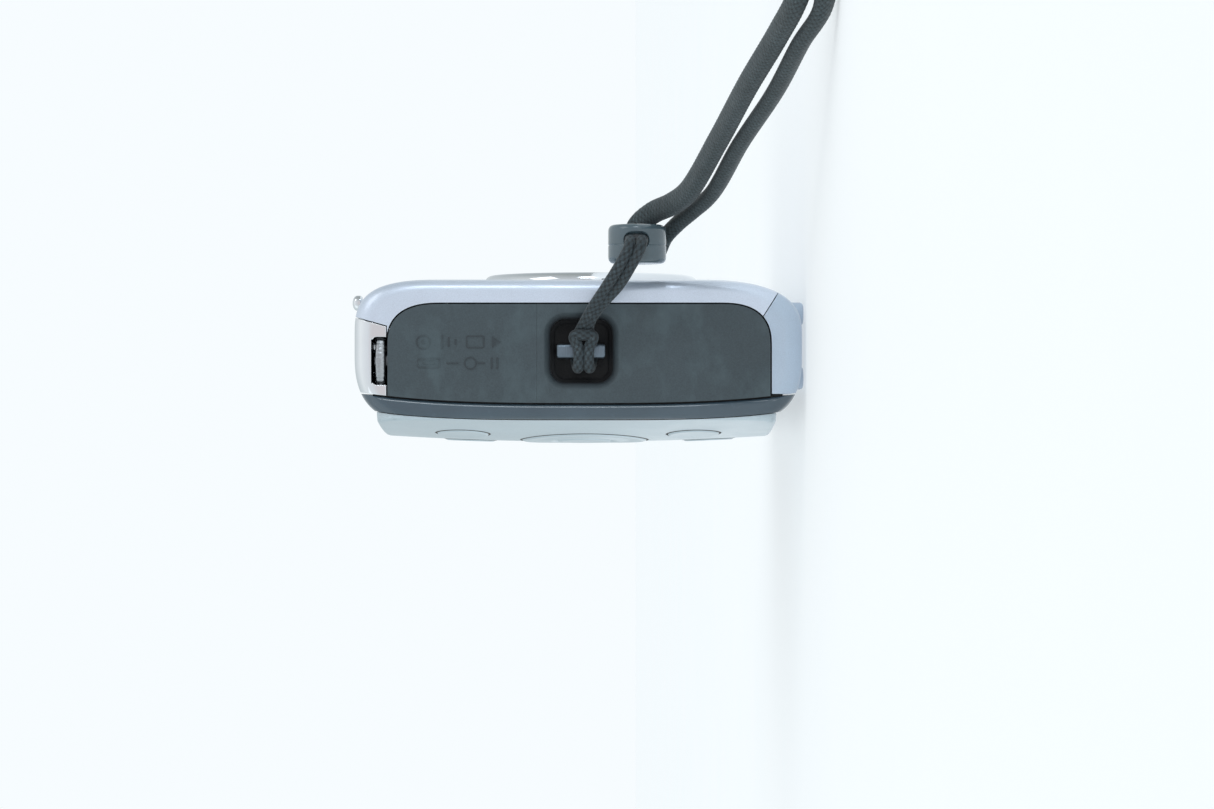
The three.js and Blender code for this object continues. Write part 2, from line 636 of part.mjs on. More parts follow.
// The thick strap: out of the back of the bead, down to the table, round its loop and back.
const LOOP_ROUTE = [
  [-43.6, -14.4, 22.0], [-42.9, -16.1, 21.3], [-44.9, -17.5, 19.6], [-49.5, -18.4, 17.2],
  [-54.5, -19.6, 15.3], [-68, -24.93, 11.97], [-83, -30.2, 9.0], [-95, -34.6, 6.2],
  [-103, -37.9, 4.4], [-107.2, -42.5, 2.9], [-108.6, -48.5, 1.8], [-106.5, -55, 1.55],
  [-101, -59.8, 1.55], [-94, -62, 1.55], [-88, -64.2, 1.55], [-85, -69.5, 1.55],
  [-87, -75, 1.55], [-93, -77.6, 1.55], [-101, -76.4, 1.55], [-108.8, -71.6, 1.55],
  [-113.6, -64, 1.55], [-114.6, -55.5, 1.55], [-112.4, -47, 1.55], [-108.2, -41, 1.55],
  [-103, -36.9, 1.6], [-95, -33.7, 3.6], [-83, -29.5, 5.8], [-68, -24.5, 9.3],
  [-54.5, -19.4, 12.3], [-49, -17.7, 14.4], [-45.6, -16.3, 16.2], [-43.6, -14.5, 17.9], [-43.9, -12.5, 18.8],
];

function cord(points, radius, steps) {
  const curve = new THREE.CatmullRomCurve3(points.map((p) => new THREE.Vector3(...p)), false, 'centripetal');
  const section = Array.from({ length: 8 }, (_, i) => {
    const angle = (i / 8) * Math.PI * 2;
    return new THREE.Vector2(radius * Math.cos(angle), radius * Math.sin(angle));
  });
  return solid(new THREE.ExtrudeGeometry(new THREE.Shape(section), { steps, extrudePath: curve, bevelEnabled: false }));
}

function strapBead() {
  const { x, y, z, r, half, hole } = BEAD;
  const profile = [[0, y - half], [r - 0.9, y - half], [r - 0.2, y - half + 0.5], [r, y - half + 1.2],
    [r, y + half - 1.2], [r - 0.2, y + half - 0.5], [r - 0.9, y + half], [0, y + half]];
  const slot = box([x - 20, y - hole + 0.1, z - hole], [x - 1, y + hole - 0.9, z + hole]);
  return turned(profile, x, z, 28).subtract(slot);
}

// ---- the scene ------------------------------------------------------------------------------------
const FINISH = {
  silver: { color: 0xcfdae6, roughness: 0.38, metalness: 0.85 },
  blueSilver: { color: 0xb6c8dc, roughness: 0.35, metalness: 0.85 },
  chrome: { color: 0xdfe4ea, roughness: 0.12, metalness: 1 },
  darkGloss: { color: 0x2c343c, roughness: 0.15, metalness: 0.1 },
  darkMatte: { color: 0x4a5960, roughness: 0.6, metalness: 0 },
  black: { color: 0x14181c, roughness: 0.45, metalness: 0 },
  steel: { color: 0x8d979e, roughness: 0.3, metalness: 1 },
  glass: { color: 0x1a2230, roughness: 0.05, metalness: 0.2 },
  clear: { color: 0xe8eef2, roughness: 0.1, metalness: 0 },
  board: { color: 0x1d5a3a, roughness: 0.5, metalness: 0 },
  battery: { color: 0x30343a, roughness: 0.5, metalness: 0 },
  cord: { color: 0x3f4b52, roughness: 0.8, metalness: 0 },
};

const camera = new THREE.Group();

function place(name, manifold, finish) {
  const mesh = new THREE.Mesh(geometryOf(manifold), new THREE.MeshStandardMaterial(FINISH[finish]));
  mesh.name = name;
  camera.add(mesh);
}

place('front_cover', frontCover().subtract(screwHoles('end')), 'silver');
place('rear_trim', rearTrim(), 'darkGloss');
place('top_plate', topPlate(), 'chrome');
place('bottom_plate', bottomPlate(), 'blueSilver');
place('battery_door', batteryDoor(), 'blueSilver');
place('door_latch', doorLatch(), 'darkMatte');
place('rear_cover', rearCover(), 'silver');
place('side_panel', sidePanel(), 'darkMatte');
place('strap_bar', strapBar(), 'steel');
place('terminal_cover', terminalCover(), 'darkMatte');
place('port_plate', portPlate(), 'black');
place('av_jack', avJack(), 'steel');
place('usb_socket', usbSocket(), 'steel');

place('mode_dial', modeDial(), 'chrome');
place('zoom_lever', zoomLever(), 'chrome');
place('shutter_button', shutterButton(), 'chrome');
place('power_button', powerButton(), 'steel');
place('speaker', speaker(), 'black');

place('lens_ring', lensRing(), 'chrome');
place('lens_housing', lensHousing(), 'black');
place('barrel_outer', barrelOuter(), 'silver');
place('barrel_inner', barrelInner(), 'silver');
place('barrier_blade_right', barrierBlade(0), 'black');
place('barrier_blade_left', barrierBlade(180), 'black');
place('front_lens', frontLens(), 'glass');
place('image_sensor', imageSensor(), 'glass');

place('flash_window', flashWindow(), 'clear');
place('flash_reflector', flashReflector(), 'chrome');
place('flash_capacitor', flashCapacitor(), 'black');
place('af_lamp', afLamp(), 'clear');

place('lcd_window', lcdWindow(), 'glass');
place('lcd_panel', lcdPanel(), 'black');
place('nav_ring', navRing(), 'chrome');
place('set_button', setButton(), 'steel');
REAR_BUTTONS.forEach((button) => place(button.name, rearButton(button), 'steel'));

place('battery', block(BATTERY), 'battery');
place('battery_bay', sleeve(BATTERY, 0.2, 0.5), 'black');
place('memory_card', block(CARD), 'board');
place('card_slot', sleeve(CARD, 0.2, 0.4), 'steel');
place('main_board', mainBoard(), 'board');
place('tripod_socket', tripodSocket(), 'steel');
Object.entries(SCREWS).forEach(([where, list]) => list.forEach((s, i) => {
  place(`screw_${where}_${i + 1}`, screw(where, s), 'steel');
}));

place('strap_bead', strapBead(), 'darkGloss');
place('strap_hitch', cord(hitchRoute(), 0.6, 40), 'cord');
place('strap_loop', cord(LOOP_ROUTE, 1.25, 80), 'cord');

export default camera;
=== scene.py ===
"""A compact digital camera with a wrist strap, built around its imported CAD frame."""
import math
from types import SimpleNamespace as Group

import bmesh
import bpy
import numpy as np
from mathutils import Matrix, Vector


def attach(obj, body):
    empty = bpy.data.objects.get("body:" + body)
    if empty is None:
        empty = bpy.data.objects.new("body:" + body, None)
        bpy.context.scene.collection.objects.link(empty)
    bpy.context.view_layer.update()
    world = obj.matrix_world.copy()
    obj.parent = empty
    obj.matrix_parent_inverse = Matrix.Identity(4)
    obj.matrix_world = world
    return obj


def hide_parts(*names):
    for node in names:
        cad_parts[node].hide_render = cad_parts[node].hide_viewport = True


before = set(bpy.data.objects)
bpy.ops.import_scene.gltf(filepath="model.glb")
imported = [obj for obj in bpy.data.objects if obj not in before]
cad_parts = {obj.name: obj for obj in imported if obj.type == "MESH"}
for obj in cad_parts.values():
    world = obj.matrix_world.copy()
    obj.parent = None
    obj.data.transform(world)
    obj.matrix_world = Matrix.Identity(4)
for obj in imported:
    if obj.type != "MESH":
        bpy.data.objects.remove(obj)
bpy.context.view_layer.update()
MM = 0.001

# ---- driving dimensions, in millimetres, as the CAD frame has them ----
HALF_WIDTH = 46
BASE_Z = 0.44
TOP_Z = 57.46
MID_Z = 28.7
FRONT_Y = -8.87
FRONT_BOW = 1.35
SPLIT_Y = -2
REAR_Y = 8.68
WALL = 1.3
END_WALL = 1.6
END_ROUND_Y = 1.2
END_ROUND_Z = 2.5
SEAM = 0.09                     # half of the gap between two covers
HAIRLINE = 0.01                 # half of the gap where the flap meets the end panel
TRIM_HALF_HEIGHT = 27.6
TRIM_FRONT = (6.75, 1.3, 3)     # y, bow and power of the trim's front edge
TRIM_REAR = (REAR_Y, 1.3, 3.5)
DECK_Z = 53.3
DOOR_Z = 4.4
DOOR_X = -5.15
BASE_CORNER_Z = 5.7
BASE_REAR_Y = 5.42
PANEL_FRONT_Y = -6.15
PANEL_BACK = -44.95
FLAP_Z = 34.2
FLAP_HINGE = (-45.0, 5.0)
SHELL_END_CUT = 4.2
RECESS = Group(at=(-0.05, 28.55), width=8.1, height=7.9, radius=1.9, depth=4.4)
STRAP_BAR = Group(bottom=25.5, top=31.7, half=0.93, front=-45.9, back=-44.6)
DOME = Group(low=3.6, high=54.8, half=45, crest=11.75, crown=0.95, rise=25, fall=8)
DOME_ROUND = 0.6
LENS = (10, 27.6)
LENS_RING = Group(outer=15.3, inner=13.25, front=-11.65, back=-9.2)
LCD = Group(left=-10.5, right=41.5, low=8.5, high=49.5, radius=1.2)
NAV = Group(at=(-26, 28.3), outer=8.3, inner=3.6)
REAR_BUTTONS = {
    "menu": (-33.2, 14), "display": (-18.8, 11.6), "playback": (-33.2, 44.1), "print": (-18.8, 43.7),
}
REAR_BUTTON_R = 3.4
BUTTON_GAP = 0.25
BUTTON_PROUD = 0.2
LIP = (-45.2, -44.7)            # from x to x of the wall behind the gap round the trim
SHUTTER = Group(at=(-26, -1), r=3.3, ring=5)
POWER = Group(at=(-7, 0.4), length=8, width=3.2)
DIAL = Group(at=(-41.98, 1.25), z=54.05, r=4.6, thickness=1.1)
DIAL_SLOT = (-1.8, 4.3, 55)     # from y, to y, top
FLASH = Group(left=29.5, right=41, low=42.6, high=49.6)
AF_LAMP = Group(at=(20, 49.5), r=1.9)
SPEAKER = (20, 0.2)
BEAD = Group(at=(-48.5, 21.5), y=-13.4, r=3.65, half=2.45)
TRIPOD = Group(at=(12, -0.5), hole=3.3, outer=5.0, depth=6)
LATCH = Group(left=-33, right=-27, front=-2.2, back=1.4)
FEET = (-4.9, 3.35)
FOOT_X = 38
BASE_SCREWS = ((26, 3), (26, -4))
END_SCREWS = ((-1, 12), (-1, 45))
JACK = Group(at=(2.0, 47.4), r=2.6)
BEYOND = 60                     # past the body on either side, for cutters

# ---- camera ----
VIEW_DISTANCE = 420 * MM      # from the lens of the taking camera to the grip end
VIEW_AXIS = (6.77, 25.3)      # where its axis meets the grip end, in (y, z)
VIEW_FOCAL = 98.3


def make_camera():
    data = bpy.data.cameras.new("view")
    data.lens = VIEW_FOCAL
    data.sensor_width = 36
    data.clip_start = 0.01
    data.clip_end = 20
    camera = bpy.data.objects.new("view", data)
    bpy.context.collection.objects.link(camera)
    right, up, back = Vector((0, 0, -1)), Vector((0, -1, 0)), Vector((-1, 0, 0))
    turn = Matrix((right, up, back)).transposed().to_4x4()
    place = Vector((-HALF_WIDTH * MM - VIEW_DISTANCE, VIEW_AXIS[0] * MM, VIEW_AXIS[1] * MM))
    camera.matrix_world = Matrix.Translation(place) @ turn
    bpy.context.scene.camera = camera


make_camera()


# ---- mesh helpers ----
def new_object(name, vertices, faces):
    mesh = bpy.data.meshes.new(name)
    mesh.from_pydata([Vector(v) * MM for v in vertices], [], faces)
    bm = bmesh.new()
    bm.from_mesh(mesh)
    bmesh.ops.remove_doubles(bm, verts=bm.verts, dist=1e-7)
    bmesh.ops.recalc_face_normals(bm, faces=bm.faces)
    bm.to_mesh(mesh)
    bm.free()
    piece = bpy.data.objects.new(name, mesh)
    bpy.context.collection.objects.link(piece)
    return piece


def smooth(piece, angle):
    """Smooth shading led by the large faces, with an edge where two faces meet at more than the angle."""
    mesh = piece.data
    mesh.polygons.foreach_set("use_smooth", [True] * len(mesh.polygons))
    mesh.set_sharp_from_angle(angle=math.radians(angle))
    modifier = piece.modifiers.new("weighted", "WEIGHTED_NORMAL")
    modifier.keep_sharp = True
    modifier.weight = 90
    return apply_modifiers(piece)


def apply_modifiers(piece):
    bpy.context.view_layer.update()
    graph = bpy.context.evaluated_depsgraph_get()
    mesh = bpy.data.meshes.new_from_object(piece.evaluated_get(graph))
    piece.modifiers.clear()
    piece.data = mesh
    mesh.name = piece.name
    return piece


def combine(piece, operation, *others):
    """Join or cut a solid with others, which are used up."""
    for other in others:
        modifier = piece.modifiers.new("combine", "BOOLEAN")
        modifier.operation = operation
        modifier.solver = "MANIFOLD"
        modifier.object = other
        apply_modifiers(piece)
        bpy.data.objects.remove(other)
    return piece


def cut(piece, *others):
    return combine(piece, "DIFFERENCE", *others)


def keep(piece, *others):
    return combine(piece, "INTERSECT", *others)


def join(piece, *others):
    return combine(piece, "UNION", *others)


def copy_of(piece, name, move=(0, 0, 0)):
    twin = bpy.data.objects.new(name, piece.data.copy())
    twin.data.transform(Matrix.Translation(Vector(move) * MM))
    bpy.context.collection.objects.link(twin)
    return twin


def side_faces(rings, count):
    """The faces between rings of count points each."""
    steps = [(k, (k + 1) % count) for k in range(count)]
    return [(start + k, start + following, start + count + following, start + count + k)
            for start in range(0, (rings - 1) * count, count) for k, following in steps]


def loft(name, rings):
    """A closed skin through closed outlines that have the same number of points, with flat ends."""
    count = len(rings[0])
    vertices = [tuple(point) for ring in rings for point in ring]
    last = len(vertices) - count
    ends = [tuple(range(count)), tuple(range(last, len(vertices)))]
    return new_object(name, vertices, side_faces(len(rings), count) + ends)


AXIS_ORDER = {
    "x": lambda u, v, h: (h, u, v),
    "y": lambda u, v, h: (u, h, v),
    "z": lambda u, v, h: (u, v, h),
}


def prism(name, axis, outline, start, end):
    """An outline of (u, v) points, pulled along an axis from start to end."""
    place = AXIS_ORDER[axis]
    return loft(name, [[place(u, v, h) for u, v in outline] for h in (start, end)])


def block(x0, x1, y0, y1, z0, z1):
    return prism("block", "z", [(x0, y0), (x1, y0), (x1, y1), (x0, y1)], z0, z1)


def pillow(name, axis, outline, levels):
    """A solid through outline(growth) at each (height, growth) level."""
    place = AXIS_ORDER[axis]
    return loft(name, [[place(u, v, h) for u, v in outline(growth)] for h, growth in levels])


def around(centre, radius, angle):
    return centre[0] + radius * math.cos(angle), centre[1] + radius * math.sin(angle)


def circle(centre, radius, count):
    return [around(centre, radius, 2 * math.pi * k / count) for k in range(count)]


def lathe(name, axis, profile, centre, sides=72, lift=None):
    """A turned solid. The profile holds (radius, height), and closes on itself or ends on the axis."""
    place = AXIS_ORDER[axis]
    closed = profile[0] == profile[-1]
    points = profile[:-1] if closed else profile
    vertices, rows = [], []
    for radius, height in points:
        row = []
        for k in range(sides if radius > 0 else 1):
            u, v = around(centre, radius, 2 * math.pi * k / sides)
            row.append(len(vertices))
            vertices.append(place(u, v, height + (lift(u, v) if lift else 0)))
        rows.append(row * sides if radius == 0 else row)
    following = rows[1:] + rows[:1] if closed else rows[1:]
    faces = []
    for a, b in zip(rows, following):
        for k in range(sides):
            corners = dict.fromkeys((a[k], a[(k + 1) % sides], b[(k + 1) % sides], b[k]))
            if len(corners) > 2:
                faces.append(tuple(corners))
    return new_object(name, vertices, faces)


def fillet(points, radius, steps=4):
    """The closed outline with each corner rounded off, as far as its edges allow."""
    count = len(points)
    out = []
    for i, corner in enumerate(points):
        corner = np.array(corner, float)
        before = np.array(points[i - 1], float) - corner
        after = np.array(points[(i + 1) % count], float) - corner
        reach = min(radius, 0.45 * np.linalg.norm(before), 0.45 * np.linalg.norm(after))
        start = corner + before / np.linalg.norm(before) * reach
        end = corner + after / np.linalg.norm(after) * reach
        for k in range(steps + 1):
            t = k / steps
            out.append(tuple((1 - t) ** 2 * start + 2 * t * (1 - t) * corner + t * t * end))
    return out


CORNER_STEPS = 8


def rounded_rectangle(u0, u1, v0, v1, radius):
    corners = ((u1 - radius, v0 + radius, -90), (u1 - radius, v1 - radius, 0),
               (u0 + radius, v1 - radius, 90), (u0 + radius, v0 + radius, 180))
    return [around((u, v), radius, math.radians(start + 90 * i / CORNER_STEPS))
            for u, v, start in corners for i in range(CORNER_STEPS + 1)]


def rectangle_about(centre, width, height, radius):
    """An outline as a function of how much it is grown all round."""
    def outline(grow):
        half_u, half_v = width / 2 + grow, height / 2 + grow
        return rounded_rectangle(centre[0] - half_u, centre[0] + half_u, centre[1] - half_v,
                                 centre[1] + half_v, max(radius + grow, 0.05))
    return outline


def rod(name, axis, centre, radius, start, end, sides=64):
    return lathe(name, axis, [(0, start), (radius, start), (radius, end), (0, end)], centre, sides)


def square_arc(centre, semi_u, semi_v, power, steps):
    """A quarter of a superellipse, from the point straight along u to the point straight along v."""
    points = []
    for i in range(steps + 1):
        angle = math.pi / 2 * i / steps
        u = semi_u * max(math.cos(angle), 0) ** (2 / power)
        v = semi_v * max(math.sin(angle), 0) ** (2 / power)
        points.append((centre[0] + u, centre[1] + v))
    return points


def smoothstep(value, low, high):
    t = min(max((value - low) / (high - low), 0), 1)
    return t * t * (3 - 2 * t)


# ---- cords' helpers ----
def catmull(points):
    """Points along a centripetal Catmull-Rom curve through the given points."""
    p = np.array(points, float)
    p = np.vstack([2 * p[0] - p[1], p, 2 * p[-1] - p[-2]])
    out = []
    for i in range(1, len(p) - 2):
        a, b, c, d = p[i - 1], p[i], p[i + 1], p[i + 2]
        t0 = 0.0
        t1 = t0 + np.linalg.norm(b - a) ** 0.5
        t2 = t1 + np.linalg.norm(c - b) ** 0.5
        t3 = t2 + np.linalg.norm(d - c) ** 0.5
        for t in np.linspace(t1, t2, 24, endpoint=False):
            a1 = (t1 - t) / (t1 - t0) * a + (t - t0) / (t1 - t0) * b
            a2 = (t2 - t) / (t2 - t1) * b + (t - t1) / (t2 - t1) * c
            a3 = (t3 - t) / (t3 - t2) * c + (t - t2) / (t3 - t2) * d
            b1 = (t2 - t) / (t2 - t0) * a1 + (t - t0) / (t2 - t0) * a2
            b2 = (t3 - t) / (t3 - t1) * a2 + (t - t1) / (t3 - t1) * a3
            out.append((t2 - t) / (t2 - t1) * b1 + (t - t1) / (t2 - t1) * b2)
    out.append(p[-2])
    return np.array(out)


def evenly(path, steps):
    """The path again in a number of equal steps, and its length."""
    run = np.concatenate([[0], np.cumsum(np.linalg.norm(np.diff(path, axis=0), axis=1))])
    even = np.linspace(0, run[-1], steps + 1)
    return np.stack([np.interp(even, run, path[:, k]) for k in range(3)], axis=1), run[-1]


def relaxed(path, rounds):
    """The path with its kinks eased: each point moves towards its neighbours' middle."""
    path = path.copy()
    for _ in range(rounds):
        path[1:-1] += 0.5 * ((path[:-2] + path[2:]) / 2 - path[1:-1])
    return path


def frames_along(path, start_side):
    """Unit tangents and sideways vectors along a path, carried along with no twist."""
    tangents = np.gradient(path, axis=0)
    tangents /= np.linalg.norm(tangents, axis=1)[:, None]
    side = np.array(start_side, float)
    sides = []
    for t in tangents:
        side = side - t * side.dot(t)
        side /= np.linalg.norm(side)
        sides.append(side)
    sides = np.array(sides)
    return sides, np.cross(tangents, sides)


CORD_SIDES = 40


def sweep(name, path, section, start_side):
    """A closed tube. section(i, angle) gives two sideways offsets and how high the weave stands there."""
    sides, ups = frames_along(path, start_side)
    vertices, weave = [], []
    for i, (centre, side, up) in enumerate(zip(path, sides, ups)):
        for k in range(CORD_SIDES):
            u, v, height = section(i, 2 * math.pi * k / CORD_SIDES)
            vertices.append((centre + side * u + up * v) * MM)
            weave.append(height)
    last = len(vertices) - CORD_SIDES
    ends = [tuple(reversed(range(CORD_SIDES))), tuple(range(last, len(vertices)))]
    mesh = bpy.data.meshes.new(name)
    mesh.from_pydata(vertices, [], side_faces(len(path), CORD_SIDES) + ends)
    mesh.attributes.new("weave", "FLOAT", "POINT").data.foreach_set("value", weave)
    piece = bpy.data.objects.new(name, mesh)
    bpy.context.collection.objects.link(piece)
    return piece


# ---- the wrist strap ----
HITCH_HALF = [
    (-52.9, -13.8, 22.35), (-54.1, -12.7, 22.6), (-53.6, -10.6, 23.7), (-51.6, -8.1, 25.3),
    (-49.2, -5.6, 27.0), (-47.0, -3.5, 28.2), (-44.9, -2.0, 29.0), (-43.55, -0.6, 29.35),
    (-43.5, 0.9, 29.3), (-44.5, 2.0, 29.1), (-45.9, 2.0, 28.9), (-46.75, 0.7, 28.85),
    (-46.85, -0.5, 28.95), (-46.95, -1.35, 29.35), (-47.0, -1.9, 29.55),
]
HITCH_MIDDLE = [(-47.1, -2.0, 28.25)]
HITCH_MIRROR_Z = 28.25
HITCH_APART = 1.45
LOOP_ROUTE = [
    (-43.6, -14.4, 22.0), (-42.9, -16.1, 21.3), (-44.9, -17.5, 19.6), (-49.5, -18.4, 17.2),
    (-54.5, -19.6, 15.3), (-68, -24.93, 11.97), (-83, -30.2, 9.0), (-95, -34.6, 6.2),
    (-103, -37.9, 4.4), (-107.2, -42.5, 2.9), (-108.6, -48.5, 1.8), (-106.5, -55, 1.55),
    (-101, -59.8, 1.55), (-94, -62, 1.55), (-88, -64.2, 1.55), (-85, -69.5, 1.55),
    (-87, -75, 1.55), (-93, -77.6, 1.55), (-101, -76.4, 1.55), (-108.8, -71.6, 1.55),
    (-113.6, -64, 1.55), (-114.6, -55.5, 1.55), (-112.4, -47, 1.55), (-108.2, -41, 1.55),
    (-103, -36.9, 1.6), (-95, -33.7, 3.6), (-83, -29.5, 5.8), (-68, -24.5, 9.3),
    (-54.5, -19.4, 12.3), (-49, -17.7, 14.4), (-45.6, -16.3, 16.2), (-43.6, -14.5, 17.9),
    (-43.9, -12.5, 18.8),
]
HITCH_RADIUS = 0.7
HITCH_STEPS = 560
HITCH_PLAIT = 1.0               # length along the cord in which its plait repeats
WEB_HALF_WIDTH = 1.42
WEB_HALF_THICK = 1.0
WEB_PLAIT = 0.8
WEB_STEPS = 1500
WEAVE_MEAN = 0.6                # the weave's height that stands on the cord's own radius


def hitch_route():
    other = []
    for i, (x, y, z) in enumerate(HITCH_HALF):
        share = smoothstep(i, 3, 7)
        other.append((x, y, (z - HITCH_APART) * (1 - share) + (2 * HITCH_MIRROR_Z - z) * share))
    return HITCH_HALF + HITCH_MIDDLE + other[::-1]


def plait(along, angle, pitch, strands):
    """How high a plaited surface stands, from 0 to 1: two sets of strands that cross over and under."""
    left = (strands * angle + 2 * math.pi * along / pitch) / 2
    right = (strands * angle - 2 * math.pi * along / pitch) / 2
    over = 0.5 + 0.5 * math.sin(2 * left) * math.sin(2 * right)
    return over * abs(math.sin(left)) + (1 - over) * abs(math.sin(right))


def make_hitch():
    path, _ = evenly(catmull(hitch_route()), HITCH_STEPS)
    path, length = evenly(relaxed(path, 10), HITCH_STEPS)

    def section(i, angle):
        height = plait(i * length / HITCH_STEPS, angle, HITCH_PLAIT, 6)
        radius = HITCH_RADIUS + 0.045 * (height - WEAVE_MEAN)
        return radius * math.cos(angle), radius * math.sin(angle), height

    return sweep("hitch_cord", path, section, (0, 0, 1)), path, length


def make_loop():
    path, length = evenly(catmull(LOOP_ROUTE), WEB_STEPS)

    def section(i, angle):
        height = plait(i * length / WEB_STEPS, angle, WEB_PLAIT, 10)
        out = 1 + 0.05 * (height - WEAVE_MEAN)
        u = math.copysign(abs(math.cos(angle)) ** 0.8, math.cos(angle)) * WEB_HALF_THICK
        v = math.copysign(abs(math.sin(angle)) ** 0.8, math.sin(angle)) * WEB_HALF_WIDTH
        return u * out, v * out, height

    return sweep("strap_webbing", path, section, (-0.4, -0.9, 0)), path, length


hitch, hitch_path, hitch_length = make_hitch()
webbing, webbing_path, webbing_length = make_loop()


# ---- materials ----
RECESS_SHADE = (-0.04597, -0.0451)          # x in metres, over which painted shade goes from lit to black inside the recess
TRACES_PER_METRE = 260
RIBS_PER_METRE = 480
FILM_BAND = (0.030, 0.037)                  # the battery's pale band, as heights in metres


class Nodes:
    """A node tree. A node is added together with its settings and its inputs."""

    def __init__(self, tree):
        self.tree = tree

    def put(self, target, value):
        if isinstance(value, bpy.types.NodeSocket):
            self.tree.links.new(value, target)
        else:
            target.default_value = value

    def add(self, kind, inputs=None, **settings):
        node = self.tree.nodes.new(kind)
        for key, value in settings.items():
            setattr(node, key, value)
        for key, value in (inputs or {}).items():
            self.put(node.inputs[key], value)
        return node


class Paint(Nodes):
    """A Principled material whose colour, roughness and relief vary over the surface."""

    def __init__(self, name, colour, roughness, metallic=0.0, **sockets):
        self.material = bpy.data.materials.new(name)
        self.material.use_nodes = True
        super().__init__(self.material.node_tree)
        self.shader = self.tree.nodes["Principled BSDF"]
        for socket, value in dict(sockets, Metallic=metallic, Roughness=roughness).items():
            self.shader.inputs[socket.replace("_", " ")].default_value = value
        self.roughness = roughness
        self.where = self.add("ShaderNodeTexCoord").outputs["Object"]
        self.colour = self.add("ShaderNodeRGB").outputs[0]
        self.colour.default_value = (*colour, 1)
        self.relief = None

    def noise(self, size, detail=3, stretch=(1, 1, 1), lumpy=0.5):
        """Noise whose features are about size millimetres across, longer along the stretched axes."""
        scale = [1 / (size * MM * s) for s in stretch]
        mapping = self.add("ShaderNodeMapping", {"Vector": self.where, "Scale": scale})
        inputs = {"Vector": mapping.outputs[0], "Scale": 1, "Detail": detail, "Roughness": lumpy}
        return self.add("ShaderNodeTexNoise", inputs).outputs["Fac"]

    def spread(self, value, low, high, start=0.3, end=0.7):
        """The value stretched from its range start..end to low..high."""
        inputs = {"Value": value, "From Min": start, "From Max": end, "To Min": low, "To Max": high}
        return self.add("ShaderNodeMapRange", inputs).outputs[0]

    def math(self, operation, a, b):
        return self.add("ShaderNodeMath", {0: a, 1: b}, operation=operation).outputs[0]

    def vector(self, operation, a, b=(0, 0, 0)):
        return self.add("ShaderNodeVectorMath", {0: a, 1: b}, operation=operation).outputs

    def along(self, axis):
        return self.add("ShaderNodeSeparateXYZ", {0: self.where}).outputs[axis]

    def blend(self, factor, towards, **settings):
        inputs = {"Factor": factor, "A": self.colour, "B": towards}
        self.colour = self.add("ShaderNodeMix", inputs, data_type="RGBA", **settings).outputs["Result"]
        return self

    def tint(self, colour, mask):
        """Blend towards a colour where the mask is high."""
        return self.blend(mask, (*colour, 1))

    def mottle(self, amount, size, detail=3, stretch=(1, 1, 1)):
        """Light and dark patches."""
        shade = self.spread(self.noise(size, detail, stretch), 1 - amount, 1 + amount)
        return self.blend(1, shade, blend_type="MULTIPLY")

    def uneven(self, amount, size, stretch=(1, 1, 1)):
        """Patches that are rougher or smoother."""
        low, high = self.roughness - amount, self.roughness + amount
        self.put(self.shader.inputs["Roughness"], self.spread(self.noise(size, 4, stretch), low, high))
        return self

    def raise_by(self, height, depth):
        """Relief of a depth in millimetres from a 0 to 1 height, on top of what is there."""
        inputs = {"Height": height, "Distance": depth * MM, "Strength": 1}
        if self.relief:
            inputs["Normal"] = self.relief
        self.relief = self.add("ShaderNodeBump", inputs).outputs[0]
        return self

    def grain(self, depth, size, stretch=(1, 1, 1), detail=2):
        return self.raise_by(self.noise(size, detail, stretch, 0.6), depth)

    def round_edges(self, radius=0.12):
        self.relief = self.add("ShaderNodeBevel", {"Radius": radius * MM}, samples=6).outputs[0]
        self.rounded = self.relief
        return self

    def worn(self, colour, amount=0.7):
        """Edges rubbed towards a colour, where the rounded edge turns away from the face."""
        face = self.add("ShaderNodeNewGeometry").outputs["Normal"]
        turned = self.vector("DOT_PRODUCT", self.rounded, face)["Value"]
        edge = self.spread(turned, amount, 0, 0.8, 0.97)
        return self.tint(colour, self.math("MULTIPLY", edge, self.spread(self.noise(1.2, 4), 0.2, 1)))

    def done(self):
        self.put(self.shader.inputs["Base Color"], self.colour)
        if self.relief:
            self.put(self.shader.inputs["Normal"], self.relief)
        return self.material


def silver_paint(name, colour):
    """Satin metallic paint over a pressed cover, with flake and slight handling marks."""
    paint = Paint(name, colour, 0.36, 0.62, Coat_Weight=0.25, Coat_Roughness=0.18)
    paint.mottle(0.035, 9).mottle(0.05, 0.12, 1).uneven(0.06, 4)
    paint.round_edges(0.14).grain(0.003, 0.09)
    return paint.worn((0.85, 0.88, 0.92), 0.5).done()


def chrome_plate(name, pressed=False):
    paint = Paint(name, (0.80, 0.83, 0.86), 0.07, 1.0)
    paint.mottle(0.03, 5).uneven(0.035, 2.5, (1, 1, 3))
    if pressed:
        paint.round_edges(0.16)
    return paint.grain(0.001, 1.6).done()


def gloss_plastic(name, colour, roughness):
    paint = Paint(name, colour, roughness, Coat_Weight=0.5, Coat_Roughness=0.08)
    dust = paint.spread(paint.noise(1.1, 6), 0, 0.12, 0.6, 0.8)
    paint.mottle(0.12, 6).tint(tuple(3 * c for c in colour), dust).uneven(0.05, 1.8)
    paint.round_edges(0.16).grain(0.004, 0.6)
    return paint.worn(tuple(4 * c for c in colour), 0.35).done()


